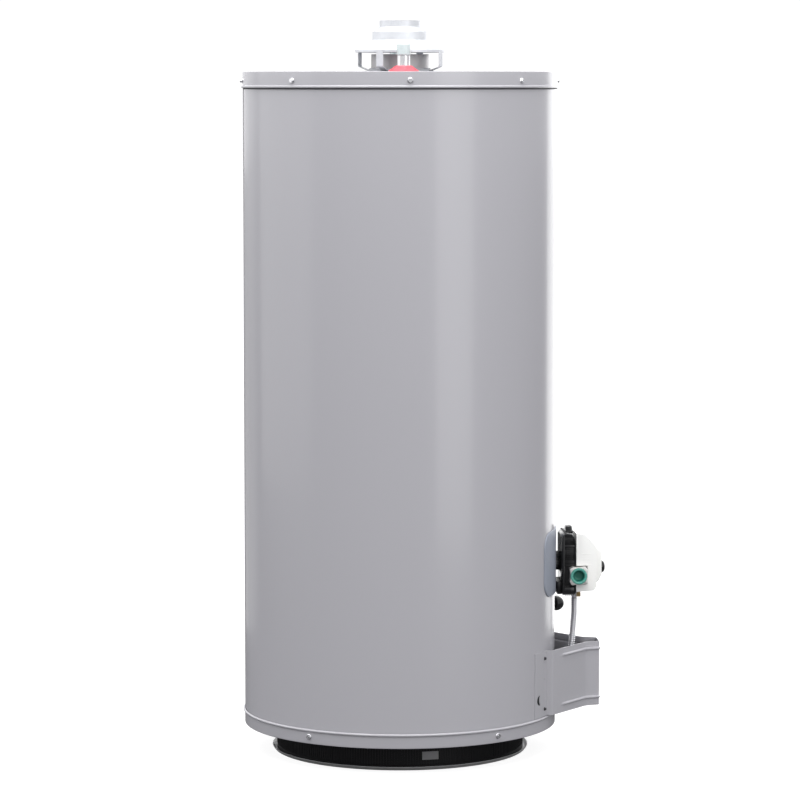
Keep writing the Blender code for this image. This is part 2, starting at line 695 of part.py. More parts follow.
def valve_body():
    half, low, high = BODY_HALF, BODY_LOW, BODY_HIGH
    body = block("valve_body", (-half, -BODY_FRONT, low), (half, -BODY_BACK, high), BLACK_PLASTIC, 0.003)
    cavity = block(
        "body_cavity",
        (-half + WALL, -BODY_FRONT - 0.02, low + WALL + 0.0015),
        (half - WALL, -BODY_BACK - WALL, high - WALL),
    )
    combine(body, cavity)
    neck = [(0.0162, 0.0099), (0.0162, 0.0)]
    neck += [(0.0124, 0.0), (0.0124, 0.0099)]
    grommet = turned("neck_rings", neck, None, 24, closed=True)
    aim(grommet, at(0, BODY_BACK + 0.0012, SHANK_Z), -outward(0))
    combine(body, grommet, "UNION")
    combine(body, block("body_foot", (-0.028, -BODY_BACK - 0.001, 0.2815), (0.028, -0.2829, 0.303)), "UNION")
    bore(body, at(0, 0.27, SHANK_Z), at(0, 0.2942, SHANK_Z), SHANK_R + 0.0003, 24)
    inlet = INLET_HALF + 0.0006
    window = ((-0.050, -INLET_OUT - inlet, INLET_Z - inlet), (-0.030, -INLET_OUT + inlet, INLET_Z + inlet))
    combine(body, block("body_window", *window))
    bore(body, (0.0, -TUBE_OUT, 0.26), (0.0, -TUBE_OUT, 0.30), 0.0076)
    x, y = BUTTON_HALF[0] + 0.0005, BUTTON_HALF[1] + 0.0005
    combine(body, block("button_slot", (-x, -BUTTON_OUT - y, 0.38), (x, -BUTTON_OUT + y, 0.40)))
    button = block(
        "igniter_button",
        (-BUTTON_HALF[0], -BUTTON_OUT - BUTTON_HALF[1], 0.381),
        (BUTTON_HALF[0], -BUTTON_OUT + BUTTON_HALF[1], BUTTON_TOP),
        BLACK_PLASTIC,
        bevel=0.0015,
    )
    button.location.z = (0.381 + BUTTON_TOP) / 2


def face_outline(inset):
    """The control's front housing seen from the side, as (outward, height) points, shrunk by an inset."""
    back = BODY_FRONT + GAP
    return [
        (back, 0.2855 + inset),
        (FACE_OUT - 0.004 - inset, 0.2885 + inset),
        (FACE_OUT - inset, 0.2945 + inset),
        (FACE_OUT - inset, 0.3683 - inset * 0.5),
        (0.3304 - inset * 0.5, 0.3910 - inset),
        (back, 0.3915 - inset),
    ]


def side_block(name, outline, half, finish=None):
    """An outline of (outward, height) points made as wide as twice a half width, across X."""
    obj = place(name, outline_mesh(name, [(out, z) for out, z in outline], 2 * half), finish)
    obj.matrix_world = Matrix(((0, 0, 1, 0), (-1, 0, 0, 0), (0, 1, 0, 0), (0, 0, 0, 1)))
    return obj


def valve_cover():
    cover = side_block("valve_cover", face_outline(0.0), BODY_HALF, WHITE_PLASTIC)
    soften(cover, 0.0025)
    hollow = [(out - 0.01 if out < BODY_FRONT + 0.001 else out, z) for out, z in face_outline(WALL)]
    combine(cover, side_block("cover_cavity", hollow, BODY_HALF - WALL))
    panel = [(0.3505, 0.2990), (0.3582, 0.3024), (PANEL_OUT, 0.3149), (PANEL_OUT, 0.3558), (0.3579, 0.3622)]
    combine(cover, side_block("front_panel", panel + [(0.3505, 0.3696)], PANEL_HALF), "UNION")
    bore(cover, at(0, DIAL_WELL_FLOOR, DIAL_Z), at(0, 0.37, DIAL_Z), DIAL_WELL_R, 32)
    bore(cover, at(0, 0.34, DIAL_Z), at(0, 0.36, DIAL_Z), 0.0036)
    inlet = INLET_HALF + 0.0006
    window = ((-0.050, -INLET_OUT - inlet, INLET_Z - inlet), (-0.030, -INLET_OUT + inlet, INLET_Z + inlet))
    combine(cover, block("cover_window", *window))
    bore(cover, (0.0, -TUBE_OUT, 0.26), (0.0, -TUBE_OUT, 0.30), 0.0076)
    bore(cover, (-0.014, -0.3235, 0.26), (-0.014, -0.3235, 0.2945), 0.0046)


def valve_casting():
    casting = block("valve_casting", (-0.024, -0.346, 0.296), (0.024, -0.2945, 0.370), ALUMINIUM, 0.002)
    half = INLET_HALF
    low = (-INLET_END, -INLET_OUT - half, INLET_Z - half)
    high = (-0.020, -INLET_OUT + half, INLET_Z + half)
    combine(casting, block("inlet_boss", low, high, bevel=0.003), "UNION")
    bore(casting, (-INLET_END - 0.01, -INLET_OUT, INLET_Z), (-0.030, -INLET_OUT, INLET_Z), INLET_BORE_R, 24)
    bore(casting, at(0, 0.325, DIAL_Z), at(0, 0.36, DIAL_Z), 0.0034)
    shell = [(0.0148, 0.0), (0.0148, -0.022), (0.0, -0.022)]
    cup = [(0.0, -0.014), (0.0092, -0.014), (0.0100, -0.0012), (0.0112, 0.0)]
    plug = turned("inlet_plug", (shell + cup)[:3] + cup + [(0.0148, 0.0)], TEAL_PLASTIC, 24)
    aim(plug, (-INLET_END - 0.0008, -INLET_OUT, INLET_Z), (-1, 0, 0))
    probe = [(SHANK_R, 0.0), (SHANK_R, -0.055), (0.007, -0.057), (0.007, -0.135), (0.0, -0.139)]
    well = turned("thermowell", [(0.0, 0.0)] + probe, BRASS)
    aim(well, at(0, 0.2938, SHANK_Z), outward(0))


def dial():
    grip = [(0.0, 0.0139), (0.0060, 0.0134), (0.0094, 0.0116), (0.0110, 0.0090), (DIAL_GRIP_R, 0.0055)]
    skirt = [(DIAL_GRIP_R, 0.0035), (DIAL_R, 0.0027), (DIAL_R, 0.0), (0.0, 0.0)]
    knob = turned("gas_dial", grip + skirt, BLACK_PLASTIC, 24)
    aim(knob, at(0, DIAL_BACK, DIAL_Z), outward(0))
    shaft = [(0.0, 0.0), (0.003, 0.0), (0.003, -0.028), (0.0, -0.028)]
    plunger = turned("dial_plunger", shaft, BRIGHT_STEEL, 12)
    aim(plunger, at(0, DIAL_BACK - GAP, DIAL_Z), outward(0))


def gas_line():
    nut = [(0.0, 0.2957), (0.0062, 0.2957), (0.0062, 0.2850), (0.0070, 0.2845), (0.0070, 0.2745)]
    nut += [(0.0, 0.2740)]
    ferrule = turned("flex_nut", nut, BRIGHT_STEEL, 12)
    ferrule.location = at(0, TUBE_OUT, 0.0)
    centre = (TUBE_LOW_OUT - TUBE_BEND_R, DOOR_Z + TUBE_BEND_R)
    bend = arc(centre, TUBE_BEND_R, 0, -90, 6)
    run = [(TUBE_OUT, TUBE_TOP), (0.3172, 0.250), (0.3152, 0.215), (0.3131, 0.185)]
    run += bend + [(TUBE_END_OUT, DOOR_Z)]
    points = [(0.0, -out, z) for out, z in run]
    bent_tube("flex_tube", points, TUBE_R, BRIGHT_STEEL)
    tap = rod("pressure_tap", (-0.014, -0.3235, 0.2735), (-0.014, -0.3235, 0.2950), 0.0040, 6, BRASS)
    tap.name = "pressure_tap"


# ---------------------------------------------------------------- drain valve and relief valve

def drain_valve():
    out = outward(DRAIN_AROUND)
    sleeve = [(0.0, 0.0), (0.0110, 0.0), (0.0110, -0.0215), (0.0180, -0.0220), (0.0180, -0.0252)]
    shank = [(0.0088, -0.0254), (0.0088, -0.068), (0.0, -0.068)]
    body = turned("drain_body", sleeve + shank, BLACK_PLASTIC, 20)
    aim(body, at(DRAIN_AROUND, 0.3060, DRAIN_Z), out)
    mouth = at(DRAIN_AROUND, 0.2945, 0.2160)
    spout = rod("drain_spout", mouth, at(DRAIN_AROUND, 0.2945, DRAIN_Z), 0.0112, 20)
    combine(body, spout, "UNION")
    bore(body, at(DRAIN_AROUND, 0.2945, 0.2030), at(DRAIN_AROUND, 0.2945, 0.2360), 0.0075, 16)
    bore(body, at(DRAIN_AROUND, 0.2945, DRAIN_Z), at(DRAIN_AROUND, 0.31, DRAIN_Z), 0.0036, 12)
    dome = [(r, 0.0095 + h * 1.037) for r, h in arc((0.0, 0.0), 0.0136, 90, 0, 5)]
    handle = [(0.0136, 0.0060), (0.0120, 0.0045), (0.0075, 0.0040), (0.0075, 0.0), (0.0031, 0.0)]
    handle += [(0.0031, -0.0095), (0.0, -0.0095)]
    knob = turned("drain_handle", dome + handle, BLACK_PLASTIC, 20)
    aim(knob, at(DRAIN_AROUND, 0.3064, DRAIN_Z), out)


def relief_valve():
    """A temperature and pressure relief valve: side inlet, outlet facing down, test lever at its end."""
    shank = [(0.0, 0.0), (0.0105, 0.0), (0.0125, -0.004), (0.0125, -0.018), (0.0160, -0.020)]
    shank += [(0.0160, -0.050)]
    root = [(0.0132, -0.052), (0.0132, -0.095), (0.0, -0.095)]
    body = turned("relief_body", shank + root, BRASS, 24)
    aim(body, at(90, 0.348, RELIEF_Z), outward(90))
    combine(body, rod("relief_hex", at(90, 0.283, RELIEF_Z), at(90, 0.296, RELIEF_Z), 0.0195, 6), "UNION")
    combine(body, rod("relief_elbow", at(90, 0.312, 1.0350), at(90, 0.312, RELIEF_Z), 0.0155, 24), "UNION")
    bore(body, at(90, 0.312, 1.020), at(90, 0.312, 1.062), 0.0115, 24)
    bore(body, at(90, 0.332, RELIEF_Z), at(90, 0.36, RELIEF_Z), 0.0026, 12)
    head, neck = 0.0042, 0.0022
    stem = [(0.0, 0.0026), (head, 0.0026), (head, -0.0024), (neck, -0.0026), (neck, -0.0178), (0.0, -0.0178)]
    pin = turned("relief_stem", stem, BRIGHT_STEEL, 12)
    aim(pin, (LEVER_PIVOT, 0.0, RELIEF_Z), outward(90))
    cross = rod("lever_pin", (LEVER_PIVOT, -0.0084, RELIEF_Z), (LEVER_PIVOT, 0.0084, RELIEF_Z), 0.0012, 8)
    combine(pin, cross, "UNION")
    lever()


def lever():
    """A flat test lever: a fork astride the stem's head, whose heel lifts the stem off the valve's end."""
    fork = [(-0.0040, -0.0075), (0.0, -0.0060), (0.0035, -0.0030), (0.0035, 0.0030), (-0.0028, 0.0060)]
    blade = [(-0.0028, 0.0340), (0.0012, 0.0400), (0.0002, 0.0407), (-0.0040, 0.0344)]
    outline = [(LEVER_PIVOT + x, RELIEF_Z + z) for x, z in fork + blade]
    arm = place("relief_lever", outline_mesh("relief_lever", outline, 0.0170), BRIGHT_STEEL)
    arm.matrix_world = Matrix.Rotation(math.radians(90), 4, "X")
    slot = block("lever_slot", (0.34, -0.0050, RELIEF_Z - 0.0200), (0.37, 0.0050, RELIEF_Z + 0.0065))
    combine(arm, slot)
    bore(arm, (LEVER_PIVOT, -0.012, RELIEF_Z), (LEVER_PIVOT, 0.012, RELIEF_Z), 0.0016, 8)


# ---------------------------------------------------------------- the whole heater

def main():
    clear_scene()
    casing()
    base()
    burner_parts()
    burner_door()
    tank()
    water_connections()
    draft_hood()
    burner_cover()
    valve_pad()
    valve_body()
    valve_cover()
    valve_casting()
    dial()
    gas_line()
    drain_valve()
    relief_valve()
    bpy.context.view_layer.update()


main()
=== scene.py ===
import math

import bmesh
import bpy
from mathutils import Matrix, Vector


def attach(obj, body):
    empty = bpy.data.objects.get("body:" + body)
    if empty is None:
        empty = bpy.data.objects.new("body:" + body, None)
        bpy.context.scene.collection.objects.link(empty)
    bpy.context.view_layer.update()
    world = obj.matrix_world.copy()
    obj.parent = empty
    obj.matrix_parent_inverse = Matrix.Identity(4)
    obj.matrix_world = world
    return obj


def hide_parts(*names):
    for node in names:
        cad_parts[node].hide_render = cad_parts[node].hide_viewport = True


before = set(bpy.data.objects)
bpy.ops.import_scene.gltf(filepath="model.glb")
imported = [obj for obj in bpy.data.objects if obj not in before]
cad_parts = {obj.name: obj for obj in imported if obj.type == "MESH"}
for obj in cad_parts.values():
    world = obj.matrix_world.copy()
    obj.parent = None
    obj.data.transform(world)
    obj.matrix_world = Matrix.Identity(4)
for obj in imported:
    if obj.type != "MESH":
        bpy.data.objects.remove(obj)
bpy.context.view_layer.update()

# A tank water heater's looks, built round its CAD frame. Metres; -Y is the front, Z is up.

# Driving sizes, as the CAD has them
SHEET = 0.001
JACKET_R = 0.28
JACKET_FOOT, JACKET_TOP = 0.052, 1.212
BAND_R = 0.2813
LAP_R = JACKET_R + 0.0003
CAP_HEM, CAP_TOP = 1.194, 1.221
PAN_HEM, PAN_FLOOR = 0.075, 0.0485
SCREEN_R = 0.2222
FLUE_R = 0.0515
NIPPLE_X = 0.1016
ANODE_Y = 0.105
FLANGE_R = JACKET_R + 0.0014
COVER_LOW, COVER_HIGH = 0.0755, 0.1924
COVER_BEADS = (0.0903, 0.1793)
COVER_ROOT = 0.119
PAD_Z = 0.345
SHANK_Z = 0.338
DIAL_Z = 0.326
CONTROL_HALF = 0.042
INLET_OUT, INLET_Z, INLET_END = 0.3195, 0.3162, 0.056
FLEX_OUT = 0.3175
DRAIN_AROUND, DRAIN_Z = 20, 0.243
RELIEF_Z = 1.07
LEVER_PIVOT = 0.3548
# Sides of the widest turned shapes
SMOOTH = 192


# ---- small geometry

def outward(around):
    """The level direction at an angle in degrees, from the front toward +X."""
    angle = math.radians(around)
    return Vector((math.sin(angle), -math.cos(angle), 0.0))


def at(around, radius, height):
    spot = outward(around) * radius
    spot.z = height
    return spot


def aim(spot, direction):
    """A matrix that stands Z along a direction, at a spot."""
    turn = Vector(direction).to_track_quat("Z", "Y").to_matrix().to_4x4()
    return Matrix.Translation(Vector(spot)) @ turn


def turned_by(degrees, axis="Z"):
    return Matrix.Rotation(math.radians(degrees), 4, axis)


def on_shell(around, radius, height):
    """A matrix on the casing: X runs round it, Y up it and Z out of it."""
    out = outward(around)
    across = Vector((-out.y, out.x, 0.0))
    m = Matrix.Identity(4)
    m.col[0][:3] = across
    m.col[1][:3] = (0.0, 0.0, 1.0)
    m.col[2][:3] = out
    m.col[3][:3] = at(around, radius, height)
    return m


# Outlines drawn as (outward, up) and as (right, up) at the front
SIDE = Matrix(((0, 0, 1, 0), (-1, 0, 0, 0), (0, 1, 0, 0), (0, 0, 0, 1)))
FACE = Matrix(((1, 0, 0, 0), (0, 0, -1, 0), (0, 1, 0, 0), (0, 0, 0, 1)))


def arc(centre, radius, first, last, steps):
    angles = [math.radians(first + (last - first) * i / steps) for i in range(steps + 1)]
    return [(centre[0] + radius * math.cos(a), centre[1] + radius * math.sin(a)) for a in angles]


def box_outline(x_low, y_low, x_high, y_high):
    return [(x_low, y_low), (x_high, y_low), (x_high, y_high), (x_low, y_high)]


def tube_wall(outer, inner, high, low):
    return [(outer, high), (outer, low), (inner, low), (inner, high)]


def rounded(points, radius=0.0, steps=4, closed=True):
    """Corners of a polyline made round. A point may carry its own radius as a third number."""
    made = []
    count = len(points)
    for i, point in enumerate(points):
        r = point[2] if len(point) > 2 else radius
        here = Vector(point[:2])
        if r <= 0 or (not closed and i in (0, count - 1)):
            made.append(tuple(here))
            continue
        a = Vector(points[i - 1][:2]) - here
        b = Vector(points[(i + 1) % count][:2]) - here
        room = min(a.length, b.length) * 0.48
        a.normalize()
        b.normalize()
        half = a.angle(b) / 2
        if half > math.radians(88):
            made.append(tuple(here))
            continue
        reach = min(r / math.tan(half), room)
        first, last = here + a * reach, here + b * reach
        for k in range(steps + 1):
            t = k / steps
            made.append(tuple(first * (1 - t) ** 2 + here * 2 * t * (1 - t) + last * t * t))
    return made


def soft_line(points, steps=4):
    """A line with two free ends and its corners made round."""
    return rounded(points, 0.0, steps, closed=False)


class Shape:
    """Closed parts gathered into one mesh."""

    def __init__(self):
        self.bm = bmesh.new()

    def add(self, part, matrix=None, bevel=0.0, segments=2):
        bmesh.ops.recalc_face_normals(part, faces=part.faces)
        if bevel:
            edges = [e for e in part.edges if len(e.link_faces) == 2 and e.calc_face_angle(0.0) > 0.6]
            bmesh.ops.bevel(part, geom=edges, offset=bevel, segments=segments, profile=0.5, affect="EDGES",
                            clamp_overlap=True)
        if matrix is not None:
            bmesh.ops.transform(part, matrix=matrix, verts=part.verts)
            if matrix.determinant() < 0:
                bmesh.ops.reverse_faces(part, faces=part.faces)
        mesh = bpy.data.meshes.new("part")
        part.to_mesh(mesh)
        part.free()
        self.bm.from_mesh(mesh)
        bpy.data.meshes.remove(mesh)

    def turned(self, profile, sides=32, matrix=None, closed=False, wave=None):
        """A (radius, height) profile turned about Z; wave is (count, depth, least radius)."""
        part = bmesh.new()
        rings = []
        for r, z in profile:
            if r < 1e-7:
                rings.append([part.verts.new((0.0, 0.0, z))])
                continue
            ring = []
            for i in range(sides):
                angle = 2 * math.pi * i / sides
                reach = r
                if wave and r > wave[2]:
                    reach += wave[1] * math.cos(wave[0] * angle)
                ring.append(part.verts.new((reach * math.cos(angle), reach * math.sin(angle), z)))
            rings.append(ring)
        pairs = list(zip(rings, rings[1:]))
        if closed:
            pairs.append((rings[-1], rings[0]))
        for upper, lower in pairs:
            for i in range(sides):
                j = (i + 1) % sides
                corners = [upper[i % len(upper)], upper[j % len(upper)]]
                corners += [lower[j % len(lower)], lower[i % len(lower)]]
                unique = list(dict.fromkeys(corners))
                if len(unique) > 2:
                    part.faces.new(unique)
        self.add(part, matrix)

    def prism(self, outline, low, high, matrix=None, bevel=0.0, segments=2):
        part = bmesh.new()
        bottom = [part.verts.new((x, y, low)) for x, y in outline]
        top = [part.verts.new((x, y, high)) for x, y in outline]
        part.faces.new(bottom[::-1])
        part.faces.new(top)
        count = len(outline)
        for i in range(count):
            j = (i + 1) % count
            part.faces.new((bottom[i], bottom[j], top[j], top[i]))
        self.add(part, matrix, bevel, segments)

    def block(self, low, high, bevel=0.0, segments=2, matrix=None):
        self.prism(box_outline(*low[:2], *high[:2]), low[2], high[2], matrix, bevel, segments)

    def tube(self, path, radii, sides):
        """A round rod along a path, with a radius for each point."""
        part = bmesh.new()
        points = [Vector(p) for p in path]
        rings = []
        normal = None
        for i, point in enumerate(points):
            along = points[min(i + 1, len(points) - 1)] - points[max(i - 1, 0)]
            along.normalize()
            if normal is None:
                normal = along.orthogonal().normalized()
            normal = (normal - along * normal.dot(along)).normalized()
            other = along.cross(normal)
            ring = []
            for k in range(sides):
                angle = 2 * math.pi * k / sides
                offset = normal * math.cos(angle) + other * math.sin(angle)
                ring.append(part.verts.new(point + offset * radii[i]))
            rings.append(ring)
        for a, b in zip(rings, rings[1:]):
            for k in range(sides):
                j = (k + 1) % sides
                part.faces.new((a[k], a[j], b[j], b[k]))
        part.faces.new(rings[0][::-1])
        part.faces.new(rings[-1])
        self.add(part)

    def hexagon(self, radius, low, high, matrix=None, dome=0.0008):
        """A hexagonal head with its corners turned off at both ends."""
        part = bmesh.new()
        rows = [(low, radius * 0.93), (low + dome, radius), (high - dome, radius), (high, radius * 0.9)]
        turns = [math.pi / 3 * k for k in range(6)]
        rings = []
        for z, r in rows:
            rings.append([part.verts.new((r * math.cos(a), r * math.sin(a), z)) for a in turns])
        for a, b in zip(rings, rings[1:]):
            for k in range(6):
                j = (k + 1) % 6
                part.faces.new((a[k], a[j], b[j], b[k]))
        part.faces.new(rings[0][::-1])
        part.faces.new(rings[-1])
        self.add(part, matrix)

    def object(self, name, look, sharp=32):
        mesh = bpy.data.meshes.new(name)
        self.bm.to_mesh(mesh)
        self.bm.free()
        mesh.shade_smooth()
        mesh.set_sharp_from_angle(angle=math.radians(sharp))
        made = bpy.data.objects.new(name, mesh)
        bpy.context.scene.collection.objects.link(made)
        mesh.materials.append(MATERIALS[look])
        return made


def carve(obj, *cutters):
    """Cuts other closed objects out of one and removes them."""
    for cutter in cutters:
        change = obj.modifiers.new("Cut", "BOOLEAN")
        change.operation = "DIFFERENCE"
        change.solver = "EXACT"
        change.object = cutter
    bpy.context.view_layer.update()
    graph = bpy.context.evaluated_depsgraph_get()
    mesh = bpy.data.meshes.new_from_object(obj.evaluated_get(graph))
    obj.modifiers.clear()
    old = obj.data
    obj.data = mesh
    mesh.name = obj.name
    bpy.data.meshes.remove(old)
    for cutter in cutters:
        bpy.data.objects.remove(cutter)
    mesh.shade_smooth()
    mesh.set_sharp_from_angle(angle=math.radians(32))
    return obj


def cutter_rod(start, end, radius, sides=48):
    start, end = Vector(start), Vector(end)
    length = (end - start).length
    shape = Shape()
    shape.turned([(0.0, length), (radius, length), (radius, 0.0), (0.0, 0.0)], sides,
                 aim(start, end - start))
    return shape.object("cutter", "black")


def piece(obj, slot, *nodes, body="heater"):
    """Puts a finished piece on its body, in the place of the CAD nodes it stands for."""
    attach(obj, body)
    if nodes:
        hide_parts(*nodes)


# ---- materials

class Graph:
    """A material's nodes, made one after the other."""

    def __init__(self, name):
        self.material = bpy.data.materials.new(name)
        self.material.use_nodes = True
        self.tree = self.material.node_tree
        self.shader = self.tree.nodes["Principled BSDF"]
        self.place = self.node("ShaderNodeTexCoord").outputs["Object"]

    def node(self, kind, **values):
        made = self.tree.nodes.new(kind)
        for key, value in values.items():
            if key in made.inputs:
                made.inputs[key].default_value = value
            else:
                setattr(made, key, value)
        return made

    def link(self, source, target):
        self.tree.links.new(source, target)

    def stretched(self, scale):
        made = self.node("ShaderNodeMapping")
        made.inputs["Scale"].default_value = scale
        self.link(self.place, made.inputs["Vector"])
        return made.outputs["Vector"]

    def noise(self, scale, detail, stretch):
        made = self.node("ShaderNodeTexNoise", Scale=scale, Detail=detail)
        self.link(self.stretched(stretch) if stretch else self.place, made.inputs["Vector"])
        return made.outputs["Fac"]

    def cells(self, scale):
        made = self.node("ShaderNodeTexVoronoi", Scale=scale)
        self.link(self.place, made.inputs["Vector"])
        return made.outputs["Color"]

    def spread(self, value, low, high, first=0.1, last=0.9):
        made = self.node("ShaderNodeMapRange")
        made.inputs["From Min"].default_value = first
        made.inputs["From Max"].default_value = last
        made.inputs["To Min"].default_value = low
        made.inputs["To Max"].default_value = high
        self.link(value, made.inputs["Value"])
        return made.outputs["Result"]

    def blend(self, factor, first, second):
        made = self.node("ShaderNodeMix", data_type="RGBA")
        self.link(factor, made.inputs["Factor"])
        for socket, colour in ((made.inputs[6], first), (made.inputs[7], second)):
            if isinstance(colour, tuple):
                socket.default_value = (*colour, 1.0)
            else:
                self.link(colour, socket)
        return made.outputs[2]

    def bump(self, height, distance):
        made = self.node("ShaderNodeBump", Strength=1.0, Distance=distance)
        self.link(height, made.inputs["Height"])
        return made.outputs["Normal"]

    def set(self, **values):
        for key, value in values.items():
            self.shader.inputs[key.replace("_", " ")].default_value = value


def scaled(colour, amount):
    return tuple(min(1.0, c * amount) for c in colour)


MATERIALS = {}


def finish(name, colour, rough, metallic=0.0, mottle=(4.0, 0.04), grain=(900.0, 0.00002), vary=0.05,
           stretch=None, spangle=0.0, **sockets):
    """A surface with uneven colour, uneven gloss and a fine grain.

    mottle is (scale, amount) of the colour's change, grain is (scale, depth) of the bump, vary is the
    gloss's change, and spangle is the scale of zinc crystals.
    """
    g = Graph(name)
    g.set(Metallic=metallic, **sockets)
    tone = g.spread(g.noise(mottle[0], 4.0, stretch), 0.0, 1.0)
    base = g.blend(tone, scaled(colour, 1 - mottle[1]), scaled(colour, 1 + mottle[1]))
    if spangle:
        patch = g.node("ShaderNodeSeparateColor")
        g.link(g.cells(spangle), patch.inputs["Color"])
        base = g.blend(g.spread(patch.outputs[0], 0.0, 0.22, 0.0, 1.0), base, scaled(colour, 0.72))
    g.link(base, g.shader.inputs["Base Color"])
    gloss = g.noise(mottle[0] * 5, 5.0, stretch)
    g.link(g.spread(gloss, max(0.02, rough - vary), rough + vary), g.shader.inputs["Roughness"])
    g.link(g.bump(g.noise(grain[0], 2.0, stretch), grain[1]), g.shader.inputs["Normal"])
    MATERIALS[name] = g.material


def make_materials():
    finish("paint", (0.42, 0.415, 0.443), 0.27, mottle=(2.2, 0.005), grain=(160.0, 0.00002), vary=0.006,
           Coat_Weight=0.35, Coat_Roughness=0.1)
    finish("cover_paint", (0.41, 0.405, 0.432), 0.3, mottle=(6.0, 0.006), grain=(160.0, 0.00002),
           vary=0.008, Coat_Weight=0.25, Coat_Roughness=0.12)
    finish("galvanised", (0.62, 0.635, 0.66), 0.42, 0.35, mottle=(30.0, 0.03), grain=(700.0, 0.00003),
           spangle=110.0)
    finish("flue_steel", (0.42, 0.415, 0.42), 0.42, 0.5, mottle=(40.0, 0.06), stretch=(1.0, 1.0, 0.08),
           vary=0.08)
    finish("base_steel", (0.62, 0.62, 0.625), 0.4, 0.6, mottle=(14.0, 0.06), spangle=70.0)
    finish("zinc", (0.78, 0.78, 0.8), 0.22, 1.0, mottle=(300.0, 0.05), vary=0.06)
    finish("pipe_steel", (0.8, 0.8, 0.81), 0.24, 0.9, mottle=(60.0, 0.05), stretch=(1.0, 1.0, 0.3),
           vary=0.06)
    finish("dark_screw", (0.05, 0.05, 0.055), 0.35, 0.6, mottle=(300.0, 0.1))
    finish("black", (0.006, 0.006, 0.007), 0.24, mottle=(60.0, 0.12), grain=(1500.0, 0.00002), vary=0.04)
    finish("screen", (0.004, 0.004, 0.005), 0.45, mottle=(20.0, 0.15), grain=(900.0, 0.00003),
           Specular_IOR_Level=0.25)
    finish("dial_black", (0.012, 0.012, 0.013), 0.22, mottle=(80.0, 0.1), grain=(900.0, 0.00001), vary=0.04)
    finish("white", (0.94, 0.94, 0.915), 0.34, mottle=(18.0, 0.012), grain=(1400.0, 0.00003),
           Coat_Weight=0.1)
    finish("pad", (0.27, 0.292, 0.345), 0.5, mottle=(25.0, 0.04), grain=(1000.0, 0.00006))
    finish("teal", (0.1, 0.36, 0.3), 0.35, mottle=(60.0, 0.06), grain=(900.0, 0.00003),
           Subsurface_Weight=0.15, Subsurface_Scale=0.004)
    # The plug's teal, darkened as painted shade for the recess of its cup.
    finish("teal_recess_shade", (0.012, 0.17, 0.125), 0.4, mottle=(60.0, 0.08), grain=(900.0, 0.00003))
    finish("red", (0.86, 0.09, 0.12), 0.3, mottle=(60.0, 0.04))
    finish("blue", (0.02, 0.1, 0.55), 0.3, mottle=(60.0, 0.05))
    finish("clear_cap", (0.66, 0.74, 0.74), 0.25, mottle=(80.0, 0.03), Transmission_Weight=0.25)
    finish("brass", (0.7, 0.47, 0.18), 0.3, 1.0, mottle=(70.0, 0.12), grain=(1200.0, 0.00003), vary=0.08)
    finish("dull_brass", (0.5, 0.36, 0.17), 0.4, 1.0, mottle=(70.0, 0.12), grain=(1200.0, 0.00003),
           vary=0.08)
    finish("casting", (0.7, 0.69, 0.67), 0.42, 0.85, mottle=(120.0, 0.08), grain=(700.0, 0.00018),
           vary=0.07)
    finish("stainless", (0.66, 0.66, 0.68), 0.2, 1.0, mottle=(200.0, 0.05), vary=0.06)
    finish("foam", (0.72, 0.6, 0.34), 0.9, mottle=(40.0, 0.12), grain=(220.0, 0.0008))
    finish("fibre", (0.62, 0.6, 0.55), 0.95, mottle=(60.0, 0.1), grain=(300.0, 0.0006), vary=0.03)
    # Dark rubber for the relief grommet and the dial marks; also used as painted shade for the ring under
    # the cap's hem.
    finish("black_rubber_and_shade", (0.03, 0.03, 0.032), 0.8, mottle=(90.0, 0.2), grain=(500.0, 0.0002))
    finish("plate", (0.24, 0.24, 0.245), 0.32, 0.3, mottle=(90.0, 0.04))
    finish("enamel", (0.05, 0.055, 0.07), 0.35, mottle=(12.0, 0.1), grain=(500.0, 0.00005))
    finish("burner_steel", (0.2, 0.19, 0.18), 0.5, 0.8, mottle=(40.0, 0.2), grain=(500.0, 0.00005),
           vary=0.1)
    finish("magnesium", (0.42, 0.42, 0.43), 0.55, 0.8, mottle=(50.0, 0.1), grain=(400.0, 0.0001))
    finish("dip_plastic", (0.55, 0.57, 0.6), 0.4, mottle=(30.0, 0.04))


# ---- casing

def bead(height, turn):
    """A band's rolled edge as profile points, from the band to the free end."""
    middle = height + turn * (0.0004 if turn > 0 else 0.0028)
    points = arc((BAND_R + 0.0002, middle), 0.0025, 70 * turn, -90 * turn, 8)
    return [(BAND_R, middle + turn * 0.003)] + points


def casing():
    shape = Shape()
    shape.turned(tube_wall(JACKET_R, JACKET_R - SHEET, JACKET_TOP, JACKET_FOOT), SMOOTH, closed=True)
    jacket = shape.object("jacket_shell", "paint")
    access = Shape()
    access.prism(rounded(box_outline(-0.095, 0.085, 0.095, 0.183), 0.006), 0.2, 0.3, FACE)
    holes = [access.object("cutter", "black")]
    for around, height, r in ((0, SHANK_Z, 0.0128), (DRAIN_AROUND, DRAIN_Z, 0.0096),
                              (90, RELIEF_Z, 0.0145)):
        holes.append(cutter_rod(at(around, 0.25, height), at(around, 0.3, height), r))
    piece(carve(jacket, *holes), "jacket_paint", "jacket")
    seam = Shape()
    outline = arc((0, 0), JACKET_R + 0.001, 88.4, 91.6, 6) + arc((0, 0), JACKET_R - 0.0002, 91.6, 88.4, 6)
    seam.prism(outline, PAN_HEM - 0.004, CAP_HEM + 0.004)
    piece(seam.object("jacket_seam", "paint", 50), "jacket_paint")


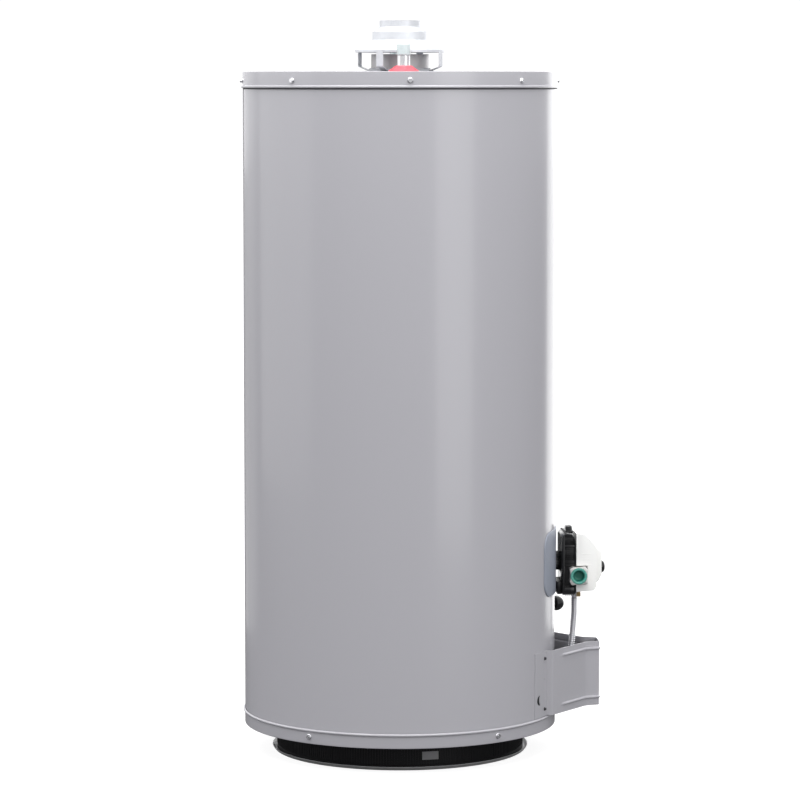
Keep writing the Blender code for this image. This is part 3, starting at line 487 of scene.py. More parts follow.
def top_cap():
    groove = [(0.188, CAP_TOP, 0.003), (0.192, CAP_TOP - 0.0012, 0.003), (0.202, CAP_TOP - 0.0012, 0.003),
              (0.206, CAP_TOP, 0.003)]
    outer = [(0.053, CAP_TOP - 0.0002)] + groove + [(BAND_R, CAP_TOP, 0.0012)]
    outer = soft_line(outer + [(BAND_R, CAP_HEM + 0.008)], 6)
    inner = soft_line([(LAP_R, CAP_HEM), (LAP_R, CAP_TOP - SHEET, 0.0045), (0.053, CAP_TOP - SHEET)], 6)
    shape = Shape()
    shape.turned(outer + bead(CAP_HEM, 1) + inner, SMOOTH, closed=True)
    cap = shape.object("cap", "paint")
    holes = [cutter_rod((x, 0.0, 1.2), (x, 0.0, 1.24), 0.0127) for x in (-NIPPLE_X, NIPPLE_X)]
    holes.append(cutter_rod((0.0, ANODE_Y, 1.2), (0.0, ANODE_Y, 1.24), 0.02))
    piece(carve(cap, *holes), "jacket_paint", "top_cap")
    # Painted shade: a dark ring just under the cap's bead stands in for the shadow line beneath the hem.
    hem_shade_ring = Shape()
    ring = tube_wall(JACKET_R + 0.0008, JACKET_R + 0.0001, CAP_HEM + 0.001, CAP_HEM - 0.004)
    hem_shade_ring.turned(ring, SMOOTH, closed=True)
    piece(hem_shade_ring.object("cap_hem_painted_shade", "black_rubber_and_shade"), "black_plastic")


def bottom_pan():
    hem = bead(PAN_HEM, -1)[::-1]
    outer = hem + soft_line([hem[-1], (BAND_R, PAN_FLOOR, 0.0016), (0.224, PAN_FLOOR)])[1:]
    inner = [(0.224, PAN_FLOOR + SHEET), (LAP_R, PAN_FLOOR + SHEET)]
    shape = Shape()
    shape.turned(outer + inner, SMOOTH, closed=True)
    piece(shape.object("pan", "paint"), "jacket_paint", "bottom_pan")


def screws():
    """Hex washer-head sheet-metal screws; each takes the place of one in the CAD."""
    cap_z, pan_z, cover_z, cover_around = 1.2054, 0.061, (0.0886, 0.1796), 27.4
    spots = [(f"cap_screw_{i + 1}", -90 + i * 45, BAND_R, cap_z, "zinc", "bright_steel") for i in range(8)]
    spots += [(f"pan_screw_{i + 1}", -56 + i * 72, BAND_R, pan_z, "zinc", "bright_steel") for i in range(5)]
    places = [(side * cover_around, z) for side in (-1, 1) for z in cover_z]
    spots += [(f"cover_screw_{i + 1}", around, JACKET_R + 0.0019, z, "dark_screw", "dark_steel")
              for i, (around, z) in enumerate(places)]
    for name, around, radius, height, look, slot in spots:
        size = 0.62 if look == "dark_screw" else 1.0
        shape = Shape()
        where = on_shell(around, radius + 0.0001, height) @ Matrix.Diagonal((size, size, size, 1.0))
        washer = [(0.0, 0.0016), (0.004, 0.0015), (0.005, 0.0008), (0.0052, 0.0), (0.0017, 0.0),
                  (0.0017, -0.0038), (0.0, -0.0038)]
        shape.turned(washer, 24, where)
        shape.hexagon(0.0041, 0.0012, 0.0044, where, 0.0006)
        piece(shape.object(name.replace("screw", "hex"), look), slot, name)


# ---- base

def base():
    shape = Shape()
    rim = [(0.0, 0.0), (0.2262, 0.0), (0.2274, 0.0006, 0.001), (0.2314, 0.0056, 0.001),
           (0.2317, 0.0068, 0.0006), (0.2306, 0.0068, 0.0005), (0.2264, 0.0019, 0.001), (0.0, 0.0015)]
    shape.turned(soft_line(rim, 3), SMOOTH)
    piece(shape.object("foot_pan", "base_steel"), "bare_steel", "base_pan")
    screen = Shape()
    ring = [(0.2226, 0.0577), (0.223, 0.0572), (0.223, 0.05), (SCREEN_R, 0.049), (SCREEN_R, 0.0092),
            (0.223, 0.0084), (0.223, 0.0018), (0.219, 0.0018), (0.219, 0.0577)]
    screen.turned(ring, SMOOTH, closed=True)
    count = 288
    rib = box_outline(-0.0009, 0.0088, 0.0009, 0.0494)
    for i in range(count):
        screen.prism(rib, 0.0, 0.0009, on_shell(360 * i / count, SCREEN_R - 0.0001, 0.0))
    piece(screen.object("screen", "screen"), "black_plastic", "intake_screen")
    plate = Shape()
    outline = rounded(box_outline(-0.0148, -0.0073, 0.0148, 0.0073), 0.0008, 3)
    plate.prism(outline, 0.0008, 0.0016, on_shell(-79.8, SCREEN_R + 0.0002, 0.0249), 0.0002, 1)
    piece(plate.object("blank_plate", "plate"), "bare_steel")


# ---- top: hood, straps and water pipes

def hood():
    outer = soft_line([(0.0366, 1.3119, 0.0004), (0.0366, 1.3008, 0.001), (0.0454, 1.2926, 0.001),
                       (0.0495, 1.2922, 0.0009), (0.0495, 1.2775, 0.001), (0.0802, 1.26, 0.001),
                       (0.0802, 1.2553, 0.0003)], 3)
    inner = soft_line([(0.0792, 1.2553, 0.0003), (0.0792, 1.2594, 0.001), (0.0485, 1.2769, 0.001),
                       (0.0485, 1.2912, 0.0008), (0.045, 1.2916, 0.001), (0.0356, 1.3003, 0.001),
                       (0.0356, 1.3119, 0.0003)], 3)
    shape = Shape()
    shape.turned(outer + inner, 96, closed=True)
    piece(shape.object("hood", "galvanised"), "hood_paint", "draft_hood")
    bracket = Shape()
    foot = CAP_TOP + 0.0003
    ring = [(0.0535, 1.2278), (0.0598, foot + 0.0012), (0.063, foot + 0.001), (0.063, foot),
            (0.0592, foot + 0.0002), (0.0526, 1.227)]
    bracket.turned(rounded(ring, 0.0004, 2), 96, closed=True)
    path = soft_line([(0.0605, foot + 0.0009), (0.081, 1.23, 0.0035), (0.081, 1.26)], 5)
    strip = path + [(x - SHEET, z + 0.0004) for x, z in path[::-1]]
    for i in range(4):
        turn = turned_by(90 * i - 120) @ turned_by(90, "X")
        bracket.prism(strip, -0.0068, 0.0068, turn, 0.0002, 1)
    piece(bracket.object("hood_straps", "galvanised"), "hood_paint", "hood_bracket")
    flue = Shape()
    bore, low, high = FLUE_R - 0.002, 0.235, 1.252
    wall = [(FLUE_R, high, 0.0008), (FLUE_R, low), (bore, low), (bore, high, 0.0008)]
    flue.turned(rounded(wall, 0.0, 2), 96, closed=True)
    piece(flue.object("flue", "flue_steel"), "dark_steel", "flue_tube")


def thread(radius, low, high, pitch, depth):
    """A pipe thread's outline as rings, crest by crest, listed from the top down."""
    count = int((high - low) / pitch)
    points = []
    for i in range(count):
        top = high - i * pitch
        points += [(radius, top - pitch * 0.1), (radius, top - pitch * 0.3),
                   (radius - depth, top - pitch * 0.7)]
    return points


def water_pipes():
    sides = (("hot", -NIPPLE_X, "red", "red_plastic"), ("cold", NIPPLE_X, "blue", "blue_plastic"))
    for name, x, look, slot in sides:
        where = Matrix.Translation((x, 0.0, 0.0))
        pipe = Shape()
        wall = [(0.0104, 1.268)] + thread(0.0112, 1.2495, 1.2675, 0.0018, 0.0007)
        wall += [(0.0112, 1.249), (0.0112, 1.155), (0.0097, 1.155), (0.0097, 1.268)]
        pipe.turned(wall, 48, where, closed=True)
        piece(pipe.object(f"{name}_pipe", "pipe_steel"), "bare_steel", f"{name}_nipple")
        collar = Shape()
        cone = rounded([(0.0119, 1.2316, 0.0003), (0.0138, 1.2314, 0.0006), (0.016, 1.2302, 0.002),
                        (0.0243, 1.224, 0.004), (0.027, 1.2226, 0.0006), (0.027, 1.2213),
                        (0.0119, 1.2213)])
        collar.turned(cone, 64, where, closed=True)
        piece(collar.object(f"{name}_collar", look), slot, f"{name}_escutcheon")
        cap = Shape()
        outside = soft_line([(0.0, 1.2696), (0.0121, 1.2694, 0.0022), (0.0123, 1.2504, 0.0004),
                             (0.0115, 1.2504)])
        cap.turned(outside + [(0.0115, 1.2683), (0.0, 1.2683)], 96, where, wave=(24, 0.00012, 0.0122))
        piece(cap.object(f"{name}_cap", "clear_cap"), "clear_plastic", f"{name}_thread_cap")


# ---- burner cover

def smooth_step(value, low, high):
    t = min(1.0, max(0.0, (value - low) / (high - low)))
    return t * t * (3 - 2 * t)


def resample(points, spacing):
    """Points no further apart than a spacing along a polyline."""
    made = [points[0]]
    for a, b in zip(points, points[1:]):
        length = math.dist(a, b)
        count = max(1, math.ceil(length / spacing))
        for k in range(1, count + 1):
            made.append((a[0] + (b[0] - a[0]) * k / count, a[1] + (b[1] - a[1]) * k / count))
    return made


def cover_plan():
    """The cover's line seen from above, as (x, outward), from the left flange to the right one."""
    tip, steps = 35, 8
    root = math.degrees(math.asin(COVER_ROOT / FLANGE_R))
    half = []
    for i in range(steps + 1):
        tuck = 0.0009 * (1 - smooth_step(i, 0, 3))
        spot = outward(tip + (root - tip) * i / steps) * (FLANGE_R - tuck)
        half.append((spot.x, -spot.y, 0.0))
    half[-1] = (COVER_ROOT, half[-1][1], 0.0022)
    half += [(COVER_ROOT, 0.266, 0.004), (0.029, 0.3355, 0.022), (0.0212, 0.361, 0.0045)]
    path = half + [(-x, out, r) for x, out, r in half[::-1]]
    return [(-x, out) for x, out in soft_line(path, 6)]


def cover_sheet():
    """The cover's middle surface: a grid along its line, raised at the two pressed beads."""
    path = resample(cover_plan(), 0.006)
    rows = {round(COVER_LOW + (COVER_HIGH - COVER_LOW) * i / 8, 5) for i in range(9)}
    rows |= {round(c + d * 0.0007, 5) for c in COVER_BEADS for d in range(-5, 6)}
    rows = sorted(rows)
    part = bmesh.new()
    grid = []
    last = len(path) - 1
    for i, (x, out) in enumerate(path):
        before, after = path[max(i - 1, 0)], path[min(i + 1, last)]
        along = Vector((after[0] - before[0], -(after[1] - before[1]))).normalized()
        normal = Vector((along.y, -along.x))
        if normal.dot(Vector((x, -out))) < 0:
            normal = -normal
        strength = smooth_step(out, 0.285, 0.2905)
        column = []
        for z in rows:
            near = [min(1.0, abs(z - c) / 0.0029) for c in COVER_BEADS]
            rise = sum(max(0.0, math.cos(share * math.pi / 2)) for share in near)
            lift = 0.0019 * strength * rise
            column.append(part.verts.new((x + normal.x * lift, -out + normal.y * lift, z)))
        grid.append(column)
    for a, b in zip(grid, grid[1:]):
        for k in range(len(rows) - 1):
            part.faces.new((a[k], b[k], b[k + 1], a[k + 1]))
    bmesh.ops.recalc_face_normals(part, faces=part.faces)
    mesh = bpy.data.meshes.new("cover_sheet")
    part.to_mesh(mesh)
    part.free()
    mesh.materials.append(MATERIALS["cover_paint"])
    return mesh


def burner_cover():
    cover = bpy.data.objects.new("cover_sheet", cover_sheet())
    bpy.context.scene.collection.objects.link(cover)
    thick = cover.modifiers.new("Thick", "SOLIDIFY")
    thick.thickness = SHEET
    thick.offset = 0.0
    crescent = Shape()
    moon = arc((0.0, 0.0), 0.009, 75, 285, 16) + arc((0.0105, 0.0), 0.0118, 230, 130, 10)[1:-1]
    where = on_shell(-31.7, JACKET_R, 0.107)
    pin_around, pin_z = -27.9, 0.143
    crescent.prism(moon, -0.004, 0.006, where)
    pin_hole = cutter_rod(at(pin_around, 0.275, pin_z), at(pin_around, 0.29, pin_z), 0.0014, 16)
    piece(carve(cover, crescent.object("cutter", "black"), pin_hole), "jacket_paint", "burner_cover")
    # Painted shade: black discs on the jacket behind the crescent and the pin hole make the holes show
    # dark.
    behind = Shape()
    pin = on_shell(pin_around, JACKET_R, pin_z)
    for r, sides, spot in ((0.01, 32, where), (0.003, 16, pin)):
        behind.turned([(0.0, 0.0004), (r, 0.0004), (r, 0.0001), (0.0, 0.0001)], sides, spot)
    piece(behind.object("hole_painted_shade", "screen"), "black_plastic")


# ---- gas control

def pad_rings():
    """The plate's outline at its back, side, softened edge and face, as (x, z, radius) points."""
    r, edge = 0.028, 0.0008
    x, low, high = 0.13 - r, 0.2865 + r, 0.403 - r
    inner_r, outer_r = JACKET_R + 0.0003, JACKET_R + 0.0023
    corners = (((x, high), 0), ((-x, high), 90), ((-x, low), 180), ((x, low), 270))
    outline = [p for centre, turn in corners for p in arc(centre, r, turn, turn + 90, 10)]
    steps = ((0.0, inner_r), (0.0, outer_r - edge), (edge * 0.3, outer_r - edge * 0.3), (edge, outer_r))
    rings = []
    for amount, radius in steps:
        points = []
        for px, pz in outline:
            inward = amount * (1 if px > 0 else -1) * min(1, abs(px) / x)
            down = amount * (1 if pz > PAD_Z else -1) * min(1, abs(pz - PAD_Z) / 0.031)
            points.append((px - inward, pz - down))
        dense = resample(points + points[:1], 0.006)[:-1]
        rings.append([(px, pz, radius) for px, pz in dense])
    count = min(len(ring) for ring in rings)
    return [ring[:count] for ring in rings]


def valve_pad():
    """The grey plate behind the control, bent to the jacket, with a softened edge."""
    part = bmesh.new()
    rings = pad_rings()
    count = len(rings[0])

    def lift(px, pz, radius):
        return part.verts.new((px, -math.sqrt(radius * radius - px * px), pz))

    def join(ring, other):
        for i in range(count):
            j = (i + 1) % count
            part.faces.new((ring[i], ring[j], other[j], other[i]))

    made = [[lift(*p) for p in ring] for ring in rings]
    for a, b in zip(made, made[1:]):
        join(a, b)
    for ring, previous in ((rings[0], made[0]), (rings[-1], made[-1])):
        radius = ring[0][2]
        for share in (0.75, 0.5, 0.25):
            inside = [lift(p[0] * share, PAD_Z + (p[1] - PAD_Z) * share, radius) for p in ring]
            join(previous, inside)
            previous = inside
        centre = lift(0.0, PAD_Z, radius)
        for i in range(count):
            part.faces.new((previous[i], previous[(i + 1) % count], centre))
    shape = Shape()
    shape.add(part)
    pad = shape.object("pad", "pad", 50)
    hole = cutter_rod(at(0, 0.27, SHANK_Z), at(0, 0.3, SHANK_Z), 0.0126)
    piece(carve(pad, hole), "grey_plastic", "valve_pad")


def control_side(shape, side):
    """The ribs, grid and rails on one side of the control's back half."""
    def wall(low, high, reach, bevel=0.0005):
        a, b = sorted((side * 0.036, side * reach))
        shape.block((a, -high[0], low[1]), (b, -low[0], high[1]), bevel)

    for i in range(8):
        f = 0.2962 + i * 0.0021
        wall((f, 0.3716), (f + 0.0011, 0.3852), 0.0408, 0.0003)
    wall((0.2946, 0.3666), (0.3138, 0.3708), 0.042, 0.0018)
    wall((0.2946, 0.3634), (0.313, 0.3646), 0.0404)
    for i in range(6):
        f = 0.2962 + i * 0.003
        wall((f, 0.344), (f + 0.0011, 0.3622), 0.0398, 0.0003)
    for i in range(5):
        z = 0.3452 + i * 0.0038
        wall((0.295, z), (0.3135, z + 0.0008), 0.0396, 0.0002)
    wall((0.2946, 0.3408), (0.3135, 0.3424), 0.0414, 0.0005)
    for i in range(3):
        z = 0.3325 + i * 0.0028
        wall((0.296, z), (0.3132, z + 0.0013), 0.0404, 0.0004)
    wall((0.292, 0.2952), (0.305, 0.297), 0.0419, 0.0006)
    wall((0.2946, 0.2812), (0.313, 0.294), 0.041, 0.001)
    for i in range(5):
        f = 0.2958 + i * 0.0036
        wall((f, 0.2788), (f + 0.0022, 0.283), 0.0415, 0.0006)
    wall((0.2946, 0.299), (0.2962, 0.331), 0.04, 0.0004)


def valve_body():
    shape = Shape()
    outline = rounded([(0.2925, 0.2805, 0.002), (0.315, 0.2805, 0.001), (0.3158, 0.377, 0.008),
                       (0.309, 0.39, 0.006), (0.296, 0.3908, 0.003), (0.2925, 0.386, 0.003)], 0.0, 5)
    shape.prism(outline, -0.037, 0.037, SIDE, 0.0008)
    flange = rounded([(0.2916, 0.28, 0.002), (0.2948, 0.28, 0.001), (0.2952, 0.39, 0.002),
                      (0.293, 0.388, 0.002), (0.2916, 0.384, 0.003)])
    shape.prism(flange, -0.0418, 0.0418, SIDE, 0.001)
    lip = rounded([(0.3128, 0.2835), (0.3161, 0.2835), (0.3161, 0.3775, 0.006), (0.311, 0.388, 0.005),
                   (0.3092, 0.3862), (0.3128, 0.3765, 0.006)], 0.0006, 4)
    shape.prism(lip, -0.0418, 0.0418, SIDE, 0.0006)
    crown = rounded([(0.2945, 0.385, 0.001), (0.312, 0.385, 0.001), (0.3085, 0.3912, 0.004),
                     (0.2965, 0.3918, 0.002)])
    shape.prism(crown, -CONTROL_HALF, CONTROL_HALF, SIDE, 0.0014, 3)
    for side in (-1, 1):
        control_side(shape, side)
    for i in range(7):
        x = -0.036 + i * 0.012
        shape.block((x - 0.0012, -0.2945, 0.318), (x + 0.0012, -0.2905, 0.385), 0.0005)
        shape.block((x - 0.0012, -0.2992, 0.3905), (x + 0.0012, -0.2955, 0.3926), 0.0005)
    shape.block((-0.032, -0.303, 0.3905), (0.042, -0.3012, 0.3927), 0.0005)
    shape.block((-0.017, -0.313, 0.3895), (0.017, -0.2985, 0.3945), 0.0012)
    neck = [(0.0164, 0.0105), (0.0164, 0.0012), (0.0156, 0.0001), (0.0124, 0.0001), (0.0124, 0.0105)]
    shape.turned(neck, 160, aim(at(0, 0.293, SHANK_Z), -outward(0)), closed=True, wave=(20, 0.001, 0.015))
    shape.block((-0.028, -0.2925, 0.2805), (0.028, -0.2829, 0.303), 0.0012)
    for i in range(5):
        x = -0.022 + i * 0.011
        shape.block((x - 0.0014, -0.292, 0.279), (x + 0.0014, -0.284, 0.3045), 0.0006)
    piece(shape.object("control_back", "black"), "black_plastic", "valve_body")


def igniter_button():
    button = Shape()
    button.block((-0.012, -0.3116, 0.381), (0.012, -0.3, 0.4012), 0.0012, 3)
    for i in range(4):
        y = -0.3096 + i * 0.0026
        button.block((-0.0105, y - 0.0006, 0.4005), (0.0105, y + 0.0006, 0.4022), 0.0003)
    piece(button.object("button", "black"), "black_plastic", "igniter_button", body="button")


def valve_cover():
    shape = Shape()
    outline = rounded([(0.3163, 0.2855, 0.0006), (0.349, 0.2882, 0.005), (0.3525, 0.295, 0.004),
                       (0.3525, 0.3683, 0.005), (0.3304, 0.391, 0.005), (0.3163, 0.3914, 0.0008)], 0.0, 6)
    shape.prism(outline, -CONTROL_HALF, CONTROL_HALF, SIDE, 0.0026, 4)
    inlet = Shape()
    half = 0.0172
    low, high = (-0.06, -INLET_OUT - half, INLET_Z - half), (-0.025, -INLET_OUT + half, INLET_Z + half)
    inlet.block(low, high, 0.002)
    cover = carve(shape.object("control_front", "white"), inlet.object("cutter", "black"))
    piece(cover, "white_plastic", "valve_cover")


def dial_panel():
    panel = Shape()
    outline = rounded([(0.348, 0.2975), (0.3582, 0.3024, 0.004), (0.3643, 0.3149, 0.003),
                       (0.3643, 0.356, 0.004), (0.348, 0.3726)], 0.0, 5)
    panel.prism(outline, -0.026, 0.026, SIDE, 0.0022, 4)
    well = cutter_rod(at(0, 0.3552, DIAL_Z), at(0, 0.372, DIAL_Z), 0.0136, 72)
    piece(carve(panel.object("dial_panel", "white"), well), "white_plastic")


def cover_details():
    trim = Shape()
    for side in (-1, 1):
        a, b = sorted((side * 0.0412, side * 0.0424))
        trim.block((a, -0.3182, 0.335), (b, -0.3163, 0.3905), 0.0004)
    for z in (0.335, 0.345, 0.355):
        for side in (-1, 1):
            a, b = sorted((side * 0.0415, side * 0.0424))
            trim.block((a, -0.344, z - 0.0006), (b, -0.326, z + 0.0006), 0.0003)
    piece(trim.object("cover_trim", "white"), "white_plastic")
    marks = Shape()
    tick = rounded(box_outline(-0.0003, -0.0009, 0.0003, 0.0009), 0.0002, 2)
    for around in range(0, 321, 40):
        angle = math.radians(90 - around)
        spot = Vector((0.0172 * math.cos(angle), -0.3644, DIAL_Z + 0.0172 * math.sin(angle)))
        if spot.z > 0.3165:
            where = Matrix.Translation(spot) @ FACE @ Matrix.Rotation(angle - math.pi / 2, 4, "Z")
            marks.prism(tick, 0.0, 0.00035, where)
    piece(marks.object("dial_marks", "black_rubber_and_shade"), "black_plastic")
    heads = Shape()
    slope = math.radians(46)
    for x in (-0.034, 0.034):
        heads.turned([(0.0, 0.0007), (0.0018, 0.0006), (0.0023, 0.0), (0.0023, -0.002), (0.0, -0.002)], 20,
                     aim((x, -0.3415, 0.3797), Vector((0.0, -math.sin(slope), math.cos(slope)))))
    piece(heads.object("front_screws", "zinc"), "bright_steel")


def valve_casting():
    core = Shape()
    core.block((-0.024, -0.346, 0.296), (0.024, -0.2945, 0.37), 0.002)
    piece(core.object("casting_core", "casting"), "casting")
    shape = Shape()
    half = 0.0165
    outline = []
    for k in range(4):
        turn = math.radians(90 * k)
        along, across = math.cos(turn), math.sin(turn)
        for u, v in ((half, -half * 0.6), (half * 0.93, -half * 0.3), (half * 0.93, half * 0.3),
                     (half, half * 0.6), (half * 0.8, half * 0.98)):
            outline.append((u * along - v * across, u * across + v * along))
    end = Matrix.Translation((0.0, -INLET_OUT, INLET_Z)) @ Matrix(
        ((0, 0, -1, 0), (-1, 0, 0, 0), (0, 1, 0, 0), (0, 0, 0, 1)))
    shape.prism(rounded(outline, 0.0012, 3), 0.02, INLET_END, end, 0.0009)
    boss = shape.object("casting", "casting")
    hole = cutter_rod((-0.06, -INLET_OUT, INLET_Z), (-0.034, -INLET_OUT, INLET_Z), 0.0151, 64)
    piece(carve(boss, hole), "casting", "valve_casting")


def inlet_plug():
    where = aim((-INLET_END, -INLET_OUT, INLET_Z), (-1, 0, 0))
    plug = Shape()
    ring = rounded([(0.0149, -0.021), (0.0149, 0.0002, 0.0006), (0.014, 0.0012, 0.0008),
                    (0.0112, 0.0012, 0.0008), (0.0101, -0.0006, 0.0008), (0.0094, -0.013),
                    (0.0094, -0.021)])
    plug.turned(ring, 64, where, closed=True)
    for k in range(4):
        spoke = where @ turned_by(45 + 90 * k)
        plug.block((0.0108, -0.001, 0.0006), (0.0148, 0.001, 0.0019), 0.0004, 2, spoke)
    piece(plug.object("plug_rim", "teal"), "teal_plastic", "inlet_plug")
    # Painted shade: the cup inside the plug takes a darkened copy of the teal so its recess shows dark.
    cup = Shape()
    outline = soft_line([(0.0, -0.012), (0.0055, -0.0122, 0.002), (0.0092, -0.0105, 0.002), (0.01, -0.001),
                         (0.0102, -0.0016), (0.0096, -0.021), (0.0, -0.021)])
    cup.turned(outline, 48, where)
    piece(cup.object("plug_cup", "teal_recess_shade"), "teal_plastic")


def dial():
    where = aim(at(0, 0.359, DIAL_Z), outward(0))
    knob = Shape()
    grip = [(0.0, 0.0139), (0.006, 0.0134, 0.004), (0.0094, 0.0116, 0.003), (0.011, 0.009, 0.003),
            (0.0115, 0.0055)]
    outline = soft_line(grip + [(0.0115, 0.0035), (0.0126, 0.0027, 0.0004), (0.0126, 0.0), (0.0, 0.0)], 5)
    knob.turned(outline, 96, where)
    for k in range(24):
        rib = where @ turned_by(15 * k)
        knob.block((0.0106, -0.0004, 0.0034), (0.0118, 0.0004, 0.0082), 0.0002, 1, rib)
    knob.block((-0.0008, 0.0015, 0.0122), (0.0008, 0.0064, 0.0136), 0.0003, 2, where)
    piece(knob.object("dial", "dial_black"), "black_plastic", "gas_dial", body="dial")


def flex_path():
    """The gas tube's middle line, and its radius at each point of it."""
    route = [(FLEX_OUT, 0.2737), (0.3172, 0.24, 0.06), (0.3125, 0.18, 0.06), (0.3125, 0.118, 0.052),
             (0.2705, 0.118)]
    line = resample(soft_line(route, 24), 0.0004)
    lengths = [0.0]
    for a, b in zip(line, line[1:]):
        lengths.append(lengths[-1] + math.dist(a, b))
    pitch, total = 0.0039, lengths[-1]
    step = pitch / 8
    rings = int(total / step)
    path, radii, j = [], [], 0
    for i in range(rings + 1):
        target = total * i / rings
        while j < len(lengths) - 2 and lengths[j + 1] < target:
            j += 1
        t = (target - lengths[j]) / max(1e-9, lengths[j + 1] - lengths[j])
        out = line[j][0] + (line[j + 1][0] - line[j][0]) * t
        z = line[j][1] + (line[j + 1][1] - line[j][1]) * t
        path.append((0.0, -out, z))
        plain = smooth_step(target, 0.0, 0.006) * smooth_step(total - target, 0.0, 0.006)
        wave = 0.5 - 0.5 * math.cos(2 * math.pi * target / pitch)
        radii.append(0.0045 + 0.0017 * plain * wave ** 0.7)
    return path, radii


def flex_nut():
    spot = Matrix.Translation((0, -FLEX_OUT, 0))
    nut = Shape()
    nut.turned([(0.0, 0.2957), (0.0062, 0.2957), (0.0062, 0.2868), (0.0, 0.2868)], 32, spot)
    nut.hexagon(0.0073, 0.2735, 0.288, spot)
    nut.turned(soft_line([(0.0061, 0.274, 0.0004), (0.0061, 0.2722, 0.0004), (0.0, 0.2722)], 2)
               + [(0.0, 0.274)], 32, spot)
    piece(nut.object("flex_hex", "zinc"), "bright_steel", "flex_nut")


def gas_tube():
    tube = Shape()
    tube.tube(*flex_path(), 20)
    piece(tube.object("flex", "stainless", 60), "bright_steel", "flex_tube")


def pressure_tap():
    tap = Shape()
    spot = Matrix.Translation((-0.014, -0.3235, 0.0))
    tap.hexagon(0.0042, 0.2735, 0.28, spot, 0.0005)
    tap.turned([(0.0, 0.295), (0.0036, 0.295), (0.0036, 0.2795), (0.0, 0.2795)], 24, spot)
    piece(tap.object("tap", "dull_brass"), "brass", "pressure_tap")


# ---- drain valve and relief valve

def drain():
    where = aim(at(DRAIN_AROUND, 0.306, DRAIN_Z), outward(DRAIN_AROUND))
    body = Shape()
    sleeve = rounded([(0.0036, 0.0), (0.0098, 0.0, 0.0008), (0.011, -0.003, 0.001),
                      (0.011, -0.0205, 0.001), (0.0178, -0.0216, 0.0008), (0.018, -0.0252, 0.0006),
                      (0.0088, -0.0254), (0.0088, -0.068), (0.0036, -0.068)], 0.0, 3)
    body.turned(sleeve, 48, where, closed=True)
    spot = at(DRAIN_AROUND, 0.2945, 0.0)
    hose = [(0.0075, 0.216), (0.01, 0.216), (0.0108, 0.2166)]
    for k in range(5):
        rise = k * 0.0022
        hose += [(0.0112, 0.2172 + rise), (0.0112, 0.218 + rise), (0.0104, 0.2189 + rise)]
    hose += [(0.0104, 0.229), (0.01, DRAIN_Z), (0.0075, DRAIN_Z)]
    body.turned(hose[::-1], 48, Matrix.Translation(spot), closed=True)
    piece(body.object("drain", "black"), "black_plastic", "drain_body")


def drain_knob():
    knob = Shape()
    dome = [(r, 0.0095 + h * 1.037) for r, h in arc((0.0, 0.0), 0.0134, 90, 0, 14)]
    handle = dome + soft_line([(0.0134, 0.0062, 0.0012), (0.012, 0.0045, 0.0008), (0.0075, 0.004),
                               (0.0075, 0.0002), (0.0031, 0.0), (0.0031, -0.0095), (0.0, -0.0095)], 5)
    spin = aim(at(DRAIN_AROUND, 0.3064, DRAIN_Z), outward(DRAIN_AROUND))
    knob.turned(handle, 96, spin)
    for k in range(16):
        rib = spin @ turned_by(22.5 * k)
        knob.block((0.0122, -0.0007, 0.0066), (0.0139, 0.0007, 0.012), 0.0005, 2, rib)
    piece(knob.object("drain_knob_grip", "black"), "black_plastic", "drain_handle", body="drain_knob")


def relief():
    where = aim(at(90, 0.348, RELIEF_Z), outward(90))
    body = Shape()
    barrel = soft_line([(0.0026, 0.0), (0.01, 0.0, 0.0008), (0.0125, -0.003, 0.0012),
                        (0.0125, -0.018, 0.001), (0.0162, -0.0205, 0.0015), (0.0162, -0.05, 0.002),
                        (0.0134, -0.053, 0.001)])
    barrel += thread(0.0134, -0.072, -0.054, 0.0018, 0.0009) + [(0.013, -0.095), (0.0026, -0.095)]
    body.turned(barrel, 64, where, closed=True)
    body.hexagon(0.0196, -0.065, -0.052, where, 0.0012)
    elbow = rounded([(0.0115, 1.035), (0.015, 1.035, 0.0008), (0.0158, 1.0368, 0.0008),
                     (0.0158, 1.048, 0.0008), (0.015, 1.05, 0.001), (0.015, RELIEF_Z),
                     (0.0115, RELIEF_Z)], 0.0, 3)
    outlet = Matrix.Translation((0.312, 0.0, 0.0))
    body.turned(elbow, 64, outlet, closed=True)
    for k in range(12):
        rib = outlet @ turned_by(30 * k)
        body.block((0.015, -0.0016, 1.0372), (0.0164, 0.0016, 1.0478), 0.0004, 2, rib)
    piece(body.object("relief_valve", "brass"), "brass", "relief_body")
    collar = Shape()
    ring = rounded([(0.02, 0.0), (0.0215, 0.0022, 0.001), (0.015, 0.003, 0.001), (0.014, 0.0)], 0.0, 3)
    collar.turned(ring, 48, aim(at(90, 0.2797, RELIEF_Z), outward(90)), closed=True)
    piece(collar.object("relief_grommet", "black_rubber_and_shade"), "black_plastic")


def relief_pin():
    stem = Shape()
    spot = aim((LEVER_PIVOT, 0.0, RELIEF_Z), (1, 0, 0))
    stem.turned(soft_line([(0.0, 0.0026), (0.0042, 0.0026, 0.0008), (0.0042, -0.0024, 0.0006),
                           (0.0022, -0.0026), (0.0022, -0.0178), (0.0, -0.0178)], 3), 32, spot)
    stem.turned([(0.0, 0.0084), (0.0012, 0.0084), (0.0012, -0.0084), (0.0, -0.0084)], 16,
                aim((LEVER_PIVOT, 0.0, RELIEF_Z), (0, 1, 0)))
    piece(stem.object("relief_pin_steel", "zinc"), "bright_steel", "relief_stem", body="relief_pin")


